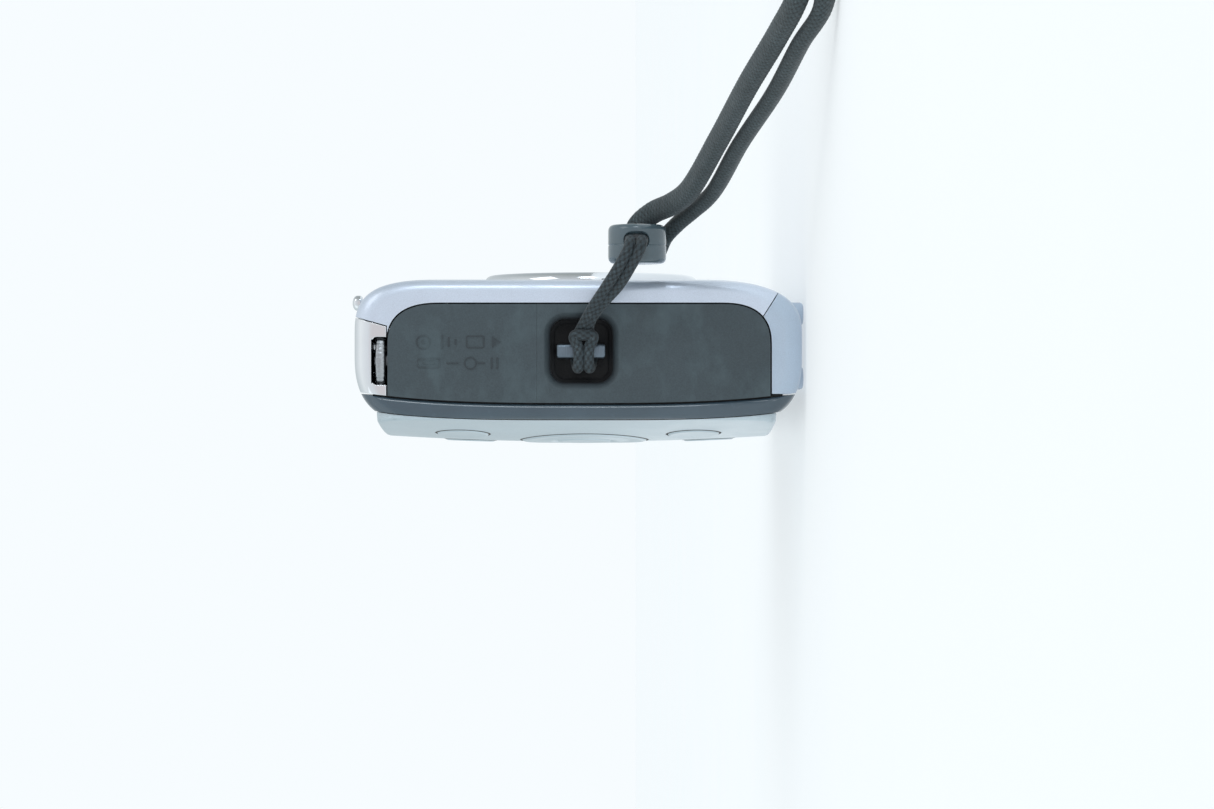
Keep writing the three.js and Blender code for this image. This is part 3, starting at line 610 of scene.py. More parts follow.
def spark_plastic(name, colour=(0.041, 0.060, 0.071), shade_recess=False):
    """Moulded plastic with a fine texture, polished and smudged by handling, with painted shade making it
    black inside a recess.
    """
    paint = Paint(name, colour, 0.55, Sheen_Weight=0.05, Sheen_Roughness=0.5)
    paint.mottle(0.05, 7).mottle(0.12, 0.16, 2)
    smudge = paint.spread(paint.noise(5, 7, (1, 1.6, 1), 0.62), 0, 1, 0.48, 0.74)
    paint.tint((0.066, 0.098, 0.112), smudge)
    paint.uneven(0.09, 5)
    paint.round_edges(0.08).grain(0.03, 0.17)
    paint.worn((0.15, 0.19, 0.21), 0.5)
    if shade_recess:
        # painted shade: darker towards black the deeper the surface lies in the strap recess
        paint.tint((0.003, 0.005, 0.008), paint.spread(paint.along("X"), 0, 1, *RECESS_SHADE))
    return paint.done()


def black_plastic(name, colour, roughness):
    paint = Paint(name, colour, roughness)
    paint.mottle(0.2, 3).uneven(0.1, 2).round_edges(0.1).grain(0.01, 0.2)
    return paint.worn((0.05, 0.055, 0.06), 0.4).done()


def brushed_steel(name, colour, along, roughness):
    paint = Paint(name, colour, roughness, 1.0)
    paint.mottle(0.1, 0.12, 3, along).mottle(0.06, 3).uneven(0.09, 0.15, along)
    paint.round_edges(0.12).grain(0.004, 0.07, along)
    return paint.worn((0.8, 0.82, 0.84), 0.5).done()


def turned_metal(name, colour):
    """Anodised metal turned on a lathe: rings round the lens axis."""
    paint = Paint(name, colour, 0.3, 0.9)
    plain = paint.where
    from_axis = paint.vector("SUBTRACT", plain, (LENS[0] * MM, 0, LENS[1] * MM))[0]
    radius = paint.vector("LENGTH", paint.vector("MULTIPLY", from_axis, (1, 0, 1))[0])["Value"]
    paint.where = paint.add("ShaderNodeCombineXYZ", {0: radius, 1: paint.along("Y")}).outputs[0]
    paint.mottle(0.12, 0.1, 2).grain(0.006, 0.08)
    paint.where = plain
    return paint.mottle(0.05, 4).uneven(0.07, 3).done()


def coated_glass(name, colour, film, ior, coat):
    paint = Paint(name, colour, 0.03, Thin_Film_Thickness=film, Thin_Film_IOR=1.38, IOR=ior,
                  Coat_Weight=coat, Coat_Roughness=0.02)
    paint.mottle(0.2, 8).uneven(0.02, 3).grain(0.0006, 2)
    return paint.done()


def clear_cover(name):
    """Ribbed clear plastic over a lamp."""
    paint = Paint(name, (0.93, 0.95, 0.97), 0.08, Transmission_Weight=0.85, IOR=1.49)
    inputs = {"Vector": paint.where, "Scale": RIBS_PER_METRE}
    ribs = paint.add("ShaderNodeTexWave", inputs, bands_direction="X")
    return paint.mottle(0.04, 2).raise_by(ribs.outputs["Fac"], 0.12).uneven(0.04, 1).done()


def circuit_board(name):
    paint = Paint(name, (0.02, 0.12, 0.06), 0.35, Coat_Weight=0.4)
    upright = paint.add("ShaderNodeMapping", {"Vector": paint.where, "Rotation": (math.pi / 2, 0, 0)})
    traces = paint.add("ShaderNodeTexBrick", {
        "Vector": upright.outputs[0], "Scale": TRACES_PER_METRE, "Mortar Size": 0.03,
        "Color1": (0, 0, 0, 1), "Color2": (0.15, 0.15, 0.15, 1), "Mortar": (1, 1, 1, 1)}).outputs["Color"]
    paint.tint((0.05, 0.24, 0.12), traces).mottle(0.1, 3).uneven(0.06, 1)
    return paint.round_edges(0.1).raise_by(traces, 0.02).done()


def battery_film(name):
    """Shrink film with a pale band round it, and slight creases."""
    paint = Paint(name, (0.035, 0.04, 0.048), 0.38, Coat_Weight=0.3)
    above = paint.math("GREATER_THAN", paint.along("Z"), FILM_BAND[0])
    below = paint.math("LESS_THAN", paint.along("Z"), FILM_BAND[1])
    paint.tint((0.42, 0.45, 0.48), paint.math("MULTIPLY", above, below))
    return paint.mottle(0.15, 4).uneven(0.1, 2).round_edges(0.3).grain(0.02, 1.4).done()


def fibre_cord(name, dark, light, pale, fuzz):
    """Plaited yarn: dark in the furrows as painted shade, the yarn's lighter colour on the strands, with
    fine fibres and paler flecks.
    """
    paint = Paint(name, dark, 0.72, Sheen_Weight=0.12, Sheen_Roughness=0.45)
    weave = paint.add("ShaderNodeAttribute", attribute_name="weave").outputs["Fac"]
    # painted shade: the base colour darkens the low furrows of the plait, lifted to the strand colour on
    # the crests
    paint.tint(light, paint.spread(weave, 0, 1, 0.25, 0.85))
    flecks = paint.math("MULTIPLY", paint.spread(paint.noise(0.35, 5), 0, 1, 0.5, 0.75),
                        paint.spread(weave, 0, 0.8, 0.4, 0.9))
    paint.tint(pale, flecks)
    paint.mottle(0.22, 0.14, 3).mottle(0.12, 3.5).uneven(0.1, 1)
    paint.grain(fuzz, 0.09, (1, 1, 1), 4)
    return paint.done()


def screen_stack(name):
    paint = Paint(name, (0.02, 0.022, 0.025), 0.3)
    return paint.mottle(0.2, 5).uneven(0.08, 2).round_edges(0.1).grain(0.003, 0.3).done()


MATERIALS = {
    "silver_cover": silver_paint("silver_cover", (0.63, 0.70, 0.81)),
    "blue_silver_base": silver_paint("blue_silver_base", (0.46, 0.55, 0.66)),
    "chrome": chrome_plate("chrome"),
    "dark_gloss": gloss_plastic("dark_gloss", (0.048, 0.076, 0.100), 0.2),
    "dark_matte": spark_plastic("dark_matte"),
    "black_plastic": black_plastic("black_plastic", (0.012, 0.014, 0.017), 0.45),
    "steel": brushed_steel("steel", (0.50, 0.53, 0.56), (1, 1, 12), 0.28),
    "barrel_silver": turned_metal("barrel_silver", (0.60, 0.64, 0.68)),
    "lens_glass": coated_glass("lens_glass", (0.012, 0.012, 0.03), 330, 1.7, 1.0),
    "screen_glass": coated_glass("screen_glass", (0.004, 0.005, 0.007), 0, 1.33, 0.0),
    "clear_plastic": clear_cover("clear_plastic"),
    "circuit_board": circuit_board("circuit_board"),
    "battery_film": battery_film("battery_film"),
    "bead_gloss": gloss_plastic("bead_gloss", (0.070, 0.104, 0.124), 0.12),
    "strap_cord": fibre_cord("strap_cord", (0.007, 0.010, 0.012), (0.028, 0.043, 0.052),
                             (0.07, 0.10, 0.115), 0.03),
    "strap_webbing": fibre_cord("strap_webbing", (0.008, 0.012, 0.014), (0.034, 0.053, 0.060),
                                (0.09, 0.125, 0.135), 0.04),
}
# Finishes that belong to a slot above and differ from its own on one kind of piece.
PRESSED_CHROME = chrome_plate("pressed_chrome", True)
# painted shade: near-black finish for the wall behind the trim's gap
GAP_SHADE_BLACK = black_plastic("gap_shade_black", (0.004, 0.006, 0.008), 0.6)
SHADED_PANEL_PLASTIC = spark_plastic("panel_plastic_recess_shade", shade_recess=True)
# a real seal ring, coloured dark brown as painted shade in the gaps round the rear buttons
SEAL_SHADE_BLACK = black_plastic("seal_shade_black", (0.022, 0.018, 0.014), 0.6)
REAR_SILVER = silver_paint("rear_silver", (0.52, 0.61, 0.66))
DIAL_STEEL = brushed_steel("dial_steel", (0.40, 0.42, 0.44), (1, 1, 1), 0.36)
BAR_STEEL = brushed_steel("bar_steel", (0.16, 0.20, 0.24), (1, 12, 1), 0.4)
MARK_PAINT = spark_plastic("port_mark_paint", (0.024, 0.036, 0.044))
SCREEN_STACK = screen_stack("screen_stack")


def coat(piece, material):
    piece.data.materials.clear()
    piece.data.materials.append(material)


def finish(piece, slot, *nodes, body="camera_body", material=None, angle=32):
    """Settle how a piece is shaded, what it moves with, what it stands for and what it is made of."""
    smooth(piece, angle)
    coat(piece, material or MATERIALS[slot])
    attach(piece, body)
    if nodes:
        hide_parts(*nodes)


finish(hitch, "strap_cord", "strap_hitch", angle=60)
finish(webbing, "strap_webbing", "strap_loop", angle=60)


# ---- the body's shape ----
ARC_STEPS = 28
CORNER_HEIGHT = 7.06            # how far the rear corners' curves reach along Z
CORNER_START = 0.5              # the y where those curves begin
LONGEST_STRAIGHT = 2.5
HALF_DEPTH = 8


def fill_straights(points):
    """The closed outline with points added along its long straight stretches."""
    out = []
    for a, b in zip(points, points[1:] + points[:1]):
        parts = max(1, math.ceil(math.dist(a, b) / LONGEST_STRAIGHT))
        out += [(a[0] + (b[0] - a[0]) * k / parts, a[1] + (b[1] - a[1]) * k / parts) for k in range(parts)]
    return out


def body_section(inset):
    """The body's outline across X as (y, z) points, moved inwards by inset."""
    low, high = BASE_Z + inset, TOP_Z - inset
    front, rear = FRONT_Y + inset, REAR_Y + 0.1 - inset
    bottom = square_arc((SPLIT_Y, 13.5), front - SPLIT_Y, low - 13.5, 2.7, ARC_STEPS)[::-1]
    top = square_arc((SPLIT_Y, 47.2), front - SPLIT_Y, high - 47.2, 3, ARC_STEPS)
    reach = rear - CORNER_START
    rear_top = square_arc((CORNER_START, high - CORNER_HEIGHT), reach, CORNER_HEIGHT, 2.5, ARC_STEPS)
    rear_low = square_arc((CORNER_START, low + CORNER_HEIGHT), reach, -CORNER_HEIGHT, 2.5, ARC_STEPS)
    return fill_straights(bottom + top + rear_top[::-1] + rear_low)


def round_over(radius, from_end):
    """How far a quarter-round end has drawn in at a distance from the end."""
    t = min(from_end, radius)
    return radius - math.sqrt(radius ** 2 - (radius - t) ** 2)


def body_ring(section, x, half_width):
    from_end = half_width - abs(x)
    inset_y = round_over(END_ROUND_Y, from_end)
    inset_z = round_over(END_ROUND_Z, from_end)
    ring = []
    for y, z in section:
        y *= 1 - inset_y / HALF_DEPTH
        z = MID_Z + (z - MID_Z) * (1 - inset_z / MID_Z)
        forward = min(max(-y / HALF_DEPTH, 0), 1)
        ring.append((x, y - FRONT_BOW * (1 - (x / HALF_WIDTH) ** 2) * forward, z))
    return ring


def body_solid(name, inset, half_width):
    rounded = [END_ROUND_Z * (1 - math.cos(math.pi / 2 * k / 16)) for k in range(17)]
    near = [-half_width + r for r in rounded]
    middle = list(np.linspace(near[-1], -near[-1], 42)[1:-1])
    stations = near + middle + [-x for x in reversed(near)]
    section = body_section(inset)
    return loft(name, [body_ring(section, x, half_width) for x in stations])


def edge_y(edge, z):
    y, bow, power = edge
    return y - bow * abs((z - MID_Z) / TRIM_HALF_HEIGHT) ** power


def slab(from_edge, to_edge, from_gap=0.0, to_gap=0.0):
    """Everything from one bowed edge to another, along the whole body."""
    levels = np.linspace(-2, 60, 63)
    near = [(edge_y(from_edge, z) + from_gap if from_edge else -30, z) for z in levels]
    far = [(edge_y(to_edge, z) - to_gap if to_edge else 30, z) for z in levels]
    return prism("slab", "x", near[::-1] + far, -BEYOND, BEYOND)


def base_region(gap):
    outline = [(-14, -3), (14, -3), (14, BASE_CORNER_Z - gap), (-4, BASE_CORNER_Z - gap),
               (-7.54, 3.42 - gap), (-14, 2.9 - gap)]
    return prism("base_region", "x", outline, -BEYOND, BEYOND)


def deck_region(gap):
    outline = [(-5 + gap, 60), (-3.1 + gap, DECK_Z + gap), (14, DECK_Z + gap), (14, 60)]
    return prism("deck_region", "x", outline, -BEYOND, BEYOND)


def panel_outline(gap):
    low, high = DOOR_Z + gap, DECK_Z - gap
    front = PANEL_FRONT_Y + gap
    bottom = square_arc((-0.6, 11), front + 0.6, low - 11, 2.6, 20)[::-1]
    top = square_arc((-0.6, 46.2), front + 0.6, high - 46.2, 2.6, 20)
    return bottom + top + [(14, high), (14, low)]


def panel_opening():
    return prism("opening", "x", panel_outline(0), -BEYOND, -HALF_WIDTH + SHELL_END_CUT)


def dial_room():
    return rod("dial_room", "z", DIAL.at, DIAL.r + 0.25, 50, 55.2)


def flash_outline(grow):
    return rounded_rectangle(FLASH.left - grow, FLASH.right + grow, FLASH.low - grow, FLASH.high + grow,
                             1.2 + grow)


def shutter_hole():
    return rod("hole", "z", SHUTTER.at, SHUTTER.ring + 0.2, 50, BEYOND)


outside = body_solid("outside", 0, HALF_WIDTH)
shell = cut(copy_of(outside, "shell"), body_solid("inside", WALL, HALF_WIDTH - END_WALL))
GAP = 2 * SEAM                  # round the end panel and beside the trim
REGION_GAP = -1.3 * SEAM        # how much further the front cover reaches than its neighbours' regions


# ---- covers ----
def make_front_cover():
    cover = keep(copy_of(shell, "front_shell"), slab(None, TRIM_FRONT, 0, GAP))
    cut(cover, base_region(REGION_GAP), deck_region(REGION_GAP), panel_opening())
    cut(cover, rod("hole", "y", LENS, LENS_RING.outer + 0.12, -20, 5, 120))
    cut(cover, prism("hole", "y", flash_outline(0.1), -20, 0))
    cut(cover, rod("hole", "y", AF_LAMP.at, AF_LAMP.r + 0.1, -20, 0), shutter_hole())
    for y, z in END_SCREWS:
        cut(cover, rod("hole", "x", (y, z), 1.35, 40, 50, 32))
    finish(cover, "silver_cover", "front_cover")


def edge_rounding(edge, side, width, depth):
    """What a rounded edge of the trim loses at both ends. side is 1 where the trim lies towards +Y."""
    angles = np.linspace(0, math.pi / 2, 7)
    rounded = [(HALF_WIDTH - depth * (1 - math.sin(a)), side * width * (1 - math.cos(a))) for a in angles]
    past_end, past_edge = HALF_WIDTH + 2, -side * 1.5
    outer = [(past_end, side * width), (past_end, past_edge), (HALF_WIDTH - depth, past_edge)]
    levels = [(z, edge_y(edge, z)) for z in np.linspace(-1, 59, 61)]
    return [loft("rounding", [[(end * x, y + v, z) for x, v in rounded + outer] for z, y in levels])
            for end in (-1, 1)]


def make_rear_trim():
    trim = keep(copy_of(shell, "rear_band"), slab(TRIM_FRONT, TRIM_REAR))
    cut(trim, block(-43, 43, -20, 20, 5, 53), dial_room())
    cut(trim, *edge_rounding(TRIM_FRONT, 1, 0.9, 0.55))
    finish(trim, "dark_gloss", "rear_trim")


def make_gap_lip():
    """The dark wall behind the gap between the front cover or the end panel and the trim, near-black as
    painted shade down the gap.
    """
    corners = ((LIP[0], -0.35), (LIP[1], -0.35), (LIP[1], 0.35), (LIP[0], 0.35))
    levels = [(z, edge_y(TRIM_FRONT, z)) for z in np.linspace(3, 55, 27)]
    near = loft("gap_lip", [[(x, y + v, z) for x, v in corners] for z, y in levels])
    far = loft("far_lip", [[(-x, y + v, z) for x, v in corners] for z, y in levels])
    finish(join(near, far), "black_plastic", material=GAP_SHADE_BLACK)


def make_top_plate():
    deck = keep(copy_of(shell, "top_deck"), slab(None, TRIM_FRONT, 0, GAP), deck_region(0))
    power = rectangle_about(POWER.at, POWER.length, POWER.width, POWER.width / 2)
    slot = rounded_rectangle(DIAL_SLOT[0], DIAL_SLOT[1], 50, DIAL_SLOT[2], 0.45)
    cut(deck, shutter_hole(), prism("hole", "z", power(0.15), 50, BEYOND), dial_room())
    cut(deck, prism("hole", "x", slot, -BEYOND, -HALF_WIDTH + SHELL_END_CUT))
    for at in circle(SPEAKER, 1.7, 6) + [SPEAKER]:
        cut(deck, rod("hole", "z", at, 0.4, 50, BEYOND, 24))
    finish(deck, "chrome", "top_plate", material=PRESSED_CHROME)


def foot(x, y):
    profile = [(0, 0), (1.1, 0), (1.35, 0.1), (1.5, 0.4), (1.5, 1.6), (0, 1.6)]
    return lathe("foot", "z", profile, (x, y), 48)


def base_piece(name, start, end):
    piece = keep(copy_of(shell, name), slab(None, TRIM_FRONT, 0, GAP), base_region(0))
    return cut(keep(piece, block(start, end, -20, BASE_REAR_Y, -5, 20)), panel_opening())


def make_base():
    door = base_piece("door_shell", -BEYOND, DOOR_X - SEAM)
    pocket = block(LATCH.left - 0.2, LATCH.right + 2.2, LATCH.front - 0.2, LATCH.back + 0.2,
                   -1, BASE_Z + 0.6)
    cut(join(door, *[foot(-FOOT_X, y) for y in FEET]), pocket)
    finish(door, "blue_silver_base", "battery_door", body="door")
    plate = base_piece("base_shell", DOOR_X + SEAM, BEYOND)
    join(plate, *[foot(FOOT_X, y) for y in FEET])
    cut(plate, rod("hole", "z", TRIPOD.at, TRIPOD.outer + 0.1, -1, 5))
    for at in BASE_SCREWS:
        cut(plate, rod("hole", "z", at, 1.35, -1, 6, 32))
    finish(plate, "blue_silver_base", "bottom_plate")


def make_latch():
    middle = ((LATCH.left + LATCH.right) / 2, (LATCH.front + LATCH.back) / 2)
    outline = rectangle_about(middle, LATCH.right - LATCH.left, LATCH.back - LATCH.front, 0.5)
    low = BASE_Z - 0.25
    levels = [(low, -0.2), (low + 0.06, -0.06), (low + 0.2, 0), (low + 0.7, 0)]
    latch = pillow("latch_slider", "z", outline, levels)
    for x in (-31.5, -30.75, -30, -29.25, -28.5):
        cut(latch, rod("groove", "y", (x, low - 0.02), 0.22, -4, 4, 24))
    finish(latch, "dark_matte", "door_latch", body="latch")


# ---- the domed back ----
DOME_MID_Z = (DOME.low + DOME.high) / 2
DOME_CORNER = 4


def dome_rounding(x, z):
    """How far the rounded rim has dropped at (x, z)."""
    half_z = (DOME.high - DOME.low) / 2
    u = abs(x) - (DOME.half - DOME_CORNER)
    v = abs(z - DOME_MID_Z) - (half_z - DOME_CORNER)
    outside_by = math.hypot(max(u, 0), max(v, 0)) + min(max(u, v), 0) - DOME_CORNER
    return round_over(DOME_ROUND, max(-outside_by, 0))


def dome_y(x, z):
    """Where the domed back stands over (x, z)."""
    near = min(max((x + DOME.half) / DOME.rise, 0), 1)
    far = min(max((DOME.half - x) / DOME.fall, 0), 1)
    rise = min(math.sin(near * math.pi / 2), math.sin(far * math.pi / 2))
    crown = DOME.crown * ((z - MID_Z) / TRIM_HALF_HEIGHT) ** 2
    return REAR_Y + (DOME.crest - REAR_Y - crown) * rise - dome_rounding(x, z)


def graded(low, high, count):
    """Stations from low to high, close together near both ends."""
    edge = [2 * k / 9 for k in range(9)]
    inner = list(np.linspace(low + 2, high - 2, count))
    return [low + e for e in edge] + inner + [high - e for e in reversed(edge)]


def dome_solid(name, offset, floor=6.4):
    """Everything between the domed back, moved by offset, and a flat floor at y = floor."""
    xs = graded(-DOME.half - 0.1, DOME.half + 0.1, 110)
    zs = graded(DOME.low - 0.1, DOME.high + 0.1, 56)
    rows, columns = len(xs), len(zs)
    vertices = [(x, dome_y(x, z) + offset, z) for x in xs for z in zs]
    faces = [(i * columns + k, i * columns + k + 1, (i + 1) * columns + k + 1, (i + 1) * columns + k)
             for i in range(rows - 1) for k in range(columns - 1)]
    rim = [(i, 0) for i in range(rows)] + [(rows - 1, k) for k in range(1, columns)]
    rim += [(i, columns - 1) for i in range(rows - 2, -1, -1)] + [(0, k) for k in range(columns - 2, 0, -1)]
    start = len(vertices)
    vertices += [(xs[i], floor, zs[k]) for i, k in rim]
    for n, (i, k) in enumerate(rim):
        following = (n + 1) % len(rim)
        j, m = rim[following]
        faces.append((i * columns + k, j * columns + m, start + following, start + n))
    faces.append(tuple(range(start, len(vertices))))
    return new_object(name, vertices, faces)


def lcd_outline(grow):
    return rounded_rectangle(LCD.left - grow, LCD.right + grow, LCD.low - grow, LCD.high + grow,
                             LCD.radius + grow)


def make_rear_cover():
    footprint = rectangle_about((0, DOME_MID_Z), 2 * DOME.half, DOME.high - DOME.low, DOME_CORNER)
    drafted = pillow("drafted", "y", footprint, [(5, 0), (REAR_Y - 0.6, 0), (13, -0.45)])
    hollow = keep(dome_solid("hollow", -WALL, 5), prism("inner", "y", footprint(-WALL), 4, 14))
    cover = keep(dome_solid("rear_dome", 0), drafted, slab(TRIM_REAR, None, GAP / 2))
    cut(cover, hollow, prism("hole", "y", lcd_outline(0.1), 0, 20))
    cut(cover, rod("hole", "y", NAV.at, NAV.outer + BUTTON_GAP, 0, 20, 96))
    for at in REAR_BUTTONS.values():
        cut(cover, rod("hole", "y", at, REAR_BUTTON_R + BUTTON_GAP, 0, 20, 64))
    finish(cover, "silver_cover", "rear_cover", material=REAR_SILVER)


def make_lcd_window():
    glass = keep(dome_solid("screen_cover", -0.05), prism("cut", "y", lcd_outline(0), 5, 20))
    cut(glass, dome_solid("below", -1.05, 4))
    finish(glass, "screen_glass", "lcd_window")


def button_cap(name, centre, radius):
    """A button whose top follows the dome, with a rounded rim and a shallow dish."""
    rim = [(radius - 0.35 * (1 - math.cos(a)), BUTTON_PROUD - 0.35 + 0.35 * math.sin(a))
           for a in np.linspace(0, math.pi / 2, 7)]
    dish = [(radius * share, BUTTON_PROUD - 0.12 * (1 - share ** 2)) for share in (0.8, 0.6, 0.4, 0.2, 0)]
    return lathe(name, "y", [(0, -1.5), (radius, -1.5)] + rim + dish, centre, 72, dome_y)


def make_rear_controls():
    profile = fillet([(3.8, -1.45), (NAV.outer, -1.45), (NAV.outer, 0.08), (7.8, 0.2), (5.9, 0.02),
                      (4.5, 0.18), (3.8, 0)], 0.25)
    ring = lathe("nav_wheel", "y", profile + profile[:1], NAV.at, 120, dome_y)
    for at in circle(NAV.at, 6.1, 4):
        cut(ring, lathe("dot", "y", [(0, 0.05), (0.35, 0.05), (0.35, 1), (0, 1)], at, 24, dome_y))
    finish(ring, "silver_cover", "nav_ring", body="ring", material=REAR_SILVER)
    middle = button_cap("set_cap", NAV.at, NAV.inner)
    finish(middle, "silver_cover", "set_button", body="set", material=REAR_SILVER)
    # seals round the buttons, dark as painted shade in the button gaps
    seals = [(NAV.at, NAV.outer)] + [(at, REAR_BUTTON_R) for at in REAR_BUTTONS.values()]
    for i, (at, radius) in enumerate(seals):
        profile = [(radius + 0.03, -1), (radius + 0.22, -1), (radius + 0.22, -0.02), (radius + 0.1, 0.05),
                   (radius + 0.03, 0.05)]
        seal = lathe(f"seal_{i}", "y", profile + profile[:1], at, 96, dome_y)
        finish(seal, "black_plastic", material=SEAL_SHADE_BLACK)
    for name, at in REAR_BUTTONS.items():
        cap = button_cap(f"{name}_cap", at, REAR_BUTTON_R)
        finish(cap, "silver_cover", f"button_{name}", body=name, material=REAR_SILVER)


# ---- the grip end ----
def make_side_panel():
    plate = prism("end_panel", "x", panel_outline(GAP), -HALF_WIDTH, PANEL_BACK)
    keep(plate, slab(None, TRIM_FRONT, 0, GAP), block(-BEYOND, BEYOND, -20, 20, 0, FLAP_Z - HAIRLINE))
    recess = rectangle_about(RECESS.at, RECESS.width, RECESS.height, RECESS.radius)
    floor = -HALF_WIDTH + RECESS.depth
    join(plate, prism("cup", "x", recess(0.8), -45.5, floor + 0.8))
    flare = 0.9                 # how much wider the recess is at its mouth
    mouth = [(-50, flare), (-HALF_WIDTH, flare)]
    mouth += [(-HALF_WIDTH + flare * math.sin(a), flare * (1 - math.sin(a) * 0.999) ** 1.6)
              for a in np.linspace(0.15, math.pi / 2, 8)]
    bottom = [(floor - 0.9, 0), (floor, -0.8)]
    bottom[1:1] = [(floor - 0.8 * math.cos(a), -0.8 * (1 - math.sin(a))) for a in (0.4, 0.9)]
    cut(plate, pillow("cup", "x", recess, mouth + bottom))
    finish(plate, "dark_matte", "side_panel", material=SHADED_PANEL_PLASTIC, angle=40)


def make_strap_bar():
    bar = STRAP_BAR
    middle = ((bar.front + bar.back) / 2, 0)
    outline = rectangle_about(middle, bar.back - bar.front, 2 * bar.half, 0.5)
    rim = [(0.3 * (1 - math.cos(a)), -0.3 * (1 - math.sin(a))) for a in np.linspace(0, math.pi / 2, 5)]
    levels = [(bar.bottom + h, g) for h, g in rim] + [(bar.top - h, g) for h, g in reversed(rim)]
    piece = pillow("strap_pin", "z", outline, levels)
    leg = rectangle_about((0, 0), 2 * bar.half - 0.1, 1, 0.3)
    for z in (bar.bottom + 0.55, bar.top - 0.55):
        points = [(y, z + dz) for y, dz in leg(0)]
        join(piece, prism("leg", "x", points, bar.back - 0.4, -HALF_WIDTH + RECESS.depth - 0.15))
    finish(piece, "steel", "strap_bar", material=BAR_STEEL)


def make_port_marks():
    """Generic pictures of the sockets: a round jack, a flat socket, and arrows towards the flap's edge."""
    left, right = -1.15, 1.55
    face, back = -HALF_WIDTH - 0.05, -45.5

    def solid(outline):
        return prism("mark", "x", outline, face, back)

    def hollow(outline, inner):
        return cut(solid(outline), prism("hole", "x", inner, -BEYOND, -40))

    def bar(y, z, height, width):
        return solid(rectangle_about((y, z), height, width, 0.12)(0))

    jack, plug = (left, 48.6), (right, 42.6)
    frame_outline = rectangle_about((left, 42.0), 1.7, 2.4, 0.3)
    socket = rectangle_about((right, 47.9), 1.3, 3.0, 0.35)
    pieces = [hollow(circle(jack, 0.95, 32), circle(jack, 0.7, 32)), solid(circle(jack, 0.3, 32))]
    pieces += [bar(left, 46.2 - 0.85 * k, 1.8 - 0.5 * k, 0.3) for k in range(3)]
    pieces.append(hollow(frame_outline(0), frame_outline(-0.25)))
    pieces.append(solid([(left - 0.8, 39.9), (left + 0.8, 39.9), (left, 38.7)]))
    pieces.append(hollow(socket(0), socket(-0.25)))
    pieces += [bar(right, 47.9, 0.3, 1.7), bar(right, 44.9, 0.26, 1.6)]
    pieces.append(hollow(circle(plug, 0.85, 32), circle(plug, 0.6, 32)))
    pieces.append(bar(right, 41.2, 0.26, 1.0))
    pieces += [bar(right, 39.9 - 0.7 * k, 1.5, 0.28) for k in range(2)]
    return pieces


def make_flap():
    flap = prism("port_flap", "x", panel_outline(GAP), -HALF_WIDTH, PANEL_BACK)
    keep(flap, slab(None, TRIM_FRONT, 0, GAP), block(-BEYOND, BEYOND, -20, 20, FLAP_Z + HAIRLINE, BEYOND))
    join(flap, rod("knuckle", "z", FLAP_HINGE, 0.75, 36.5, 51, 32))
    finish(flap, "dark_matte", "terminal_cover", body="flap")
    marks = make_port_marks()
    joined = join(marks[0], *marks[1:])
    joined.name = "port_marks"
    finish(joined, "dark_matte", body="flap", material=MARK_PAINT)


def make_bead():
    y, half, r = BEAD.y, BEAD.half, BEAD.r
    groove, groove_y = 0.09, BEAD.y + 0.15
    profile = fillet([(0.01, y - half), (r, y - half), (r, groove_y - groove), (r - groove, groove_y),
                      (r, groove_y + groove), (r, y + half), (0.01, y + half)], 0.85, 6)
    side = [p for p in profile if p[0] > 0.3]
    bead = lathe("strap_slider", "y", [(0, y - half)] + side + [(0, y + half)], BEAD.at, 96)
    mouth = rectangle_about((-13.75, 21.63), 1.75, 3.1, 0.8)
    levels = [(-60, 0.25), (-52.1, 0.25), (-51.7, 0.05), (-51.2, 0), (-49.5, 0)]
    cut(bead, pillow("mouth", "x", mouth, levels))
    finish(bead, "bead_gloss", "strap_bead")
    return bead


# ---- the top ----
def make_mode_dial():
    half, teeth = DIAL.thickness / 2, 48

    def knurled(grow):
        points = []
        for k in range(6 * teeth):
            angle = 2 * math.pi * k / (6 * teeth)
            groove = 0.5 + 0.5 * math.cos(teeth * angle)
            points.append(around(DIAL.at, DIAL.r + grow - 0.05 * groove ** 2, angle))
        return points

    rim = [(half * math.sin(a), -0.3 * (1 - math.cos(a))) for a in np.linspace(0.6, math.pi / 2, 6)]
    levels = [(DIAL.z - h, g) for h, g in reversed(rim)] + [(DIAL.z + h, g) for h, g in rim]
    dial = pillow("function_dial", "z", knurled, levels)
    join(dial, rod("hub", "z", DIAL.at, 1.2, DIAL.z - 2, DIAL.z + 0.9, 48))
    finish(dial, "chrome", "mode_dial", body="dial", material=DIAL_STEEL, angle=40)


def make_lever():
    x, y = SHUTTER.at
    ring, hole = SHUTTER.ring, SHUTTER.r + 0.2
    profile = fillet([(hole, 56.2), (ring, 56.2), (ring, 57.9), (ring - 0.35, 58.2), (hole, 58.2)], 0.3)
    lever = lathe("zoom_collar", "z", profile + profile[:1], SHUTTER.at, 120)
    outline = rectangle_about((x, y - ring - 0.65), 3.0, 2.0, 0.9)
    levels = [(57.81, -0.15), (57.95, 0), (58.45, 0), (58.7, -0.12), (58.9, -0.4), (59.0, -0.8)]
    join(lever, pillow("nub", "z", outline, levels))
    reach = ring + 0.05
    for at in circle(SHUTTER.at, reach, 28):
        if at[1] > y - 0.8 * reach:
            cut(lever, rod("groove", "z", at, 0.16, 57.0, 59, 12))
    finish(lever, "chrome", "zoom_lever", body="lever")


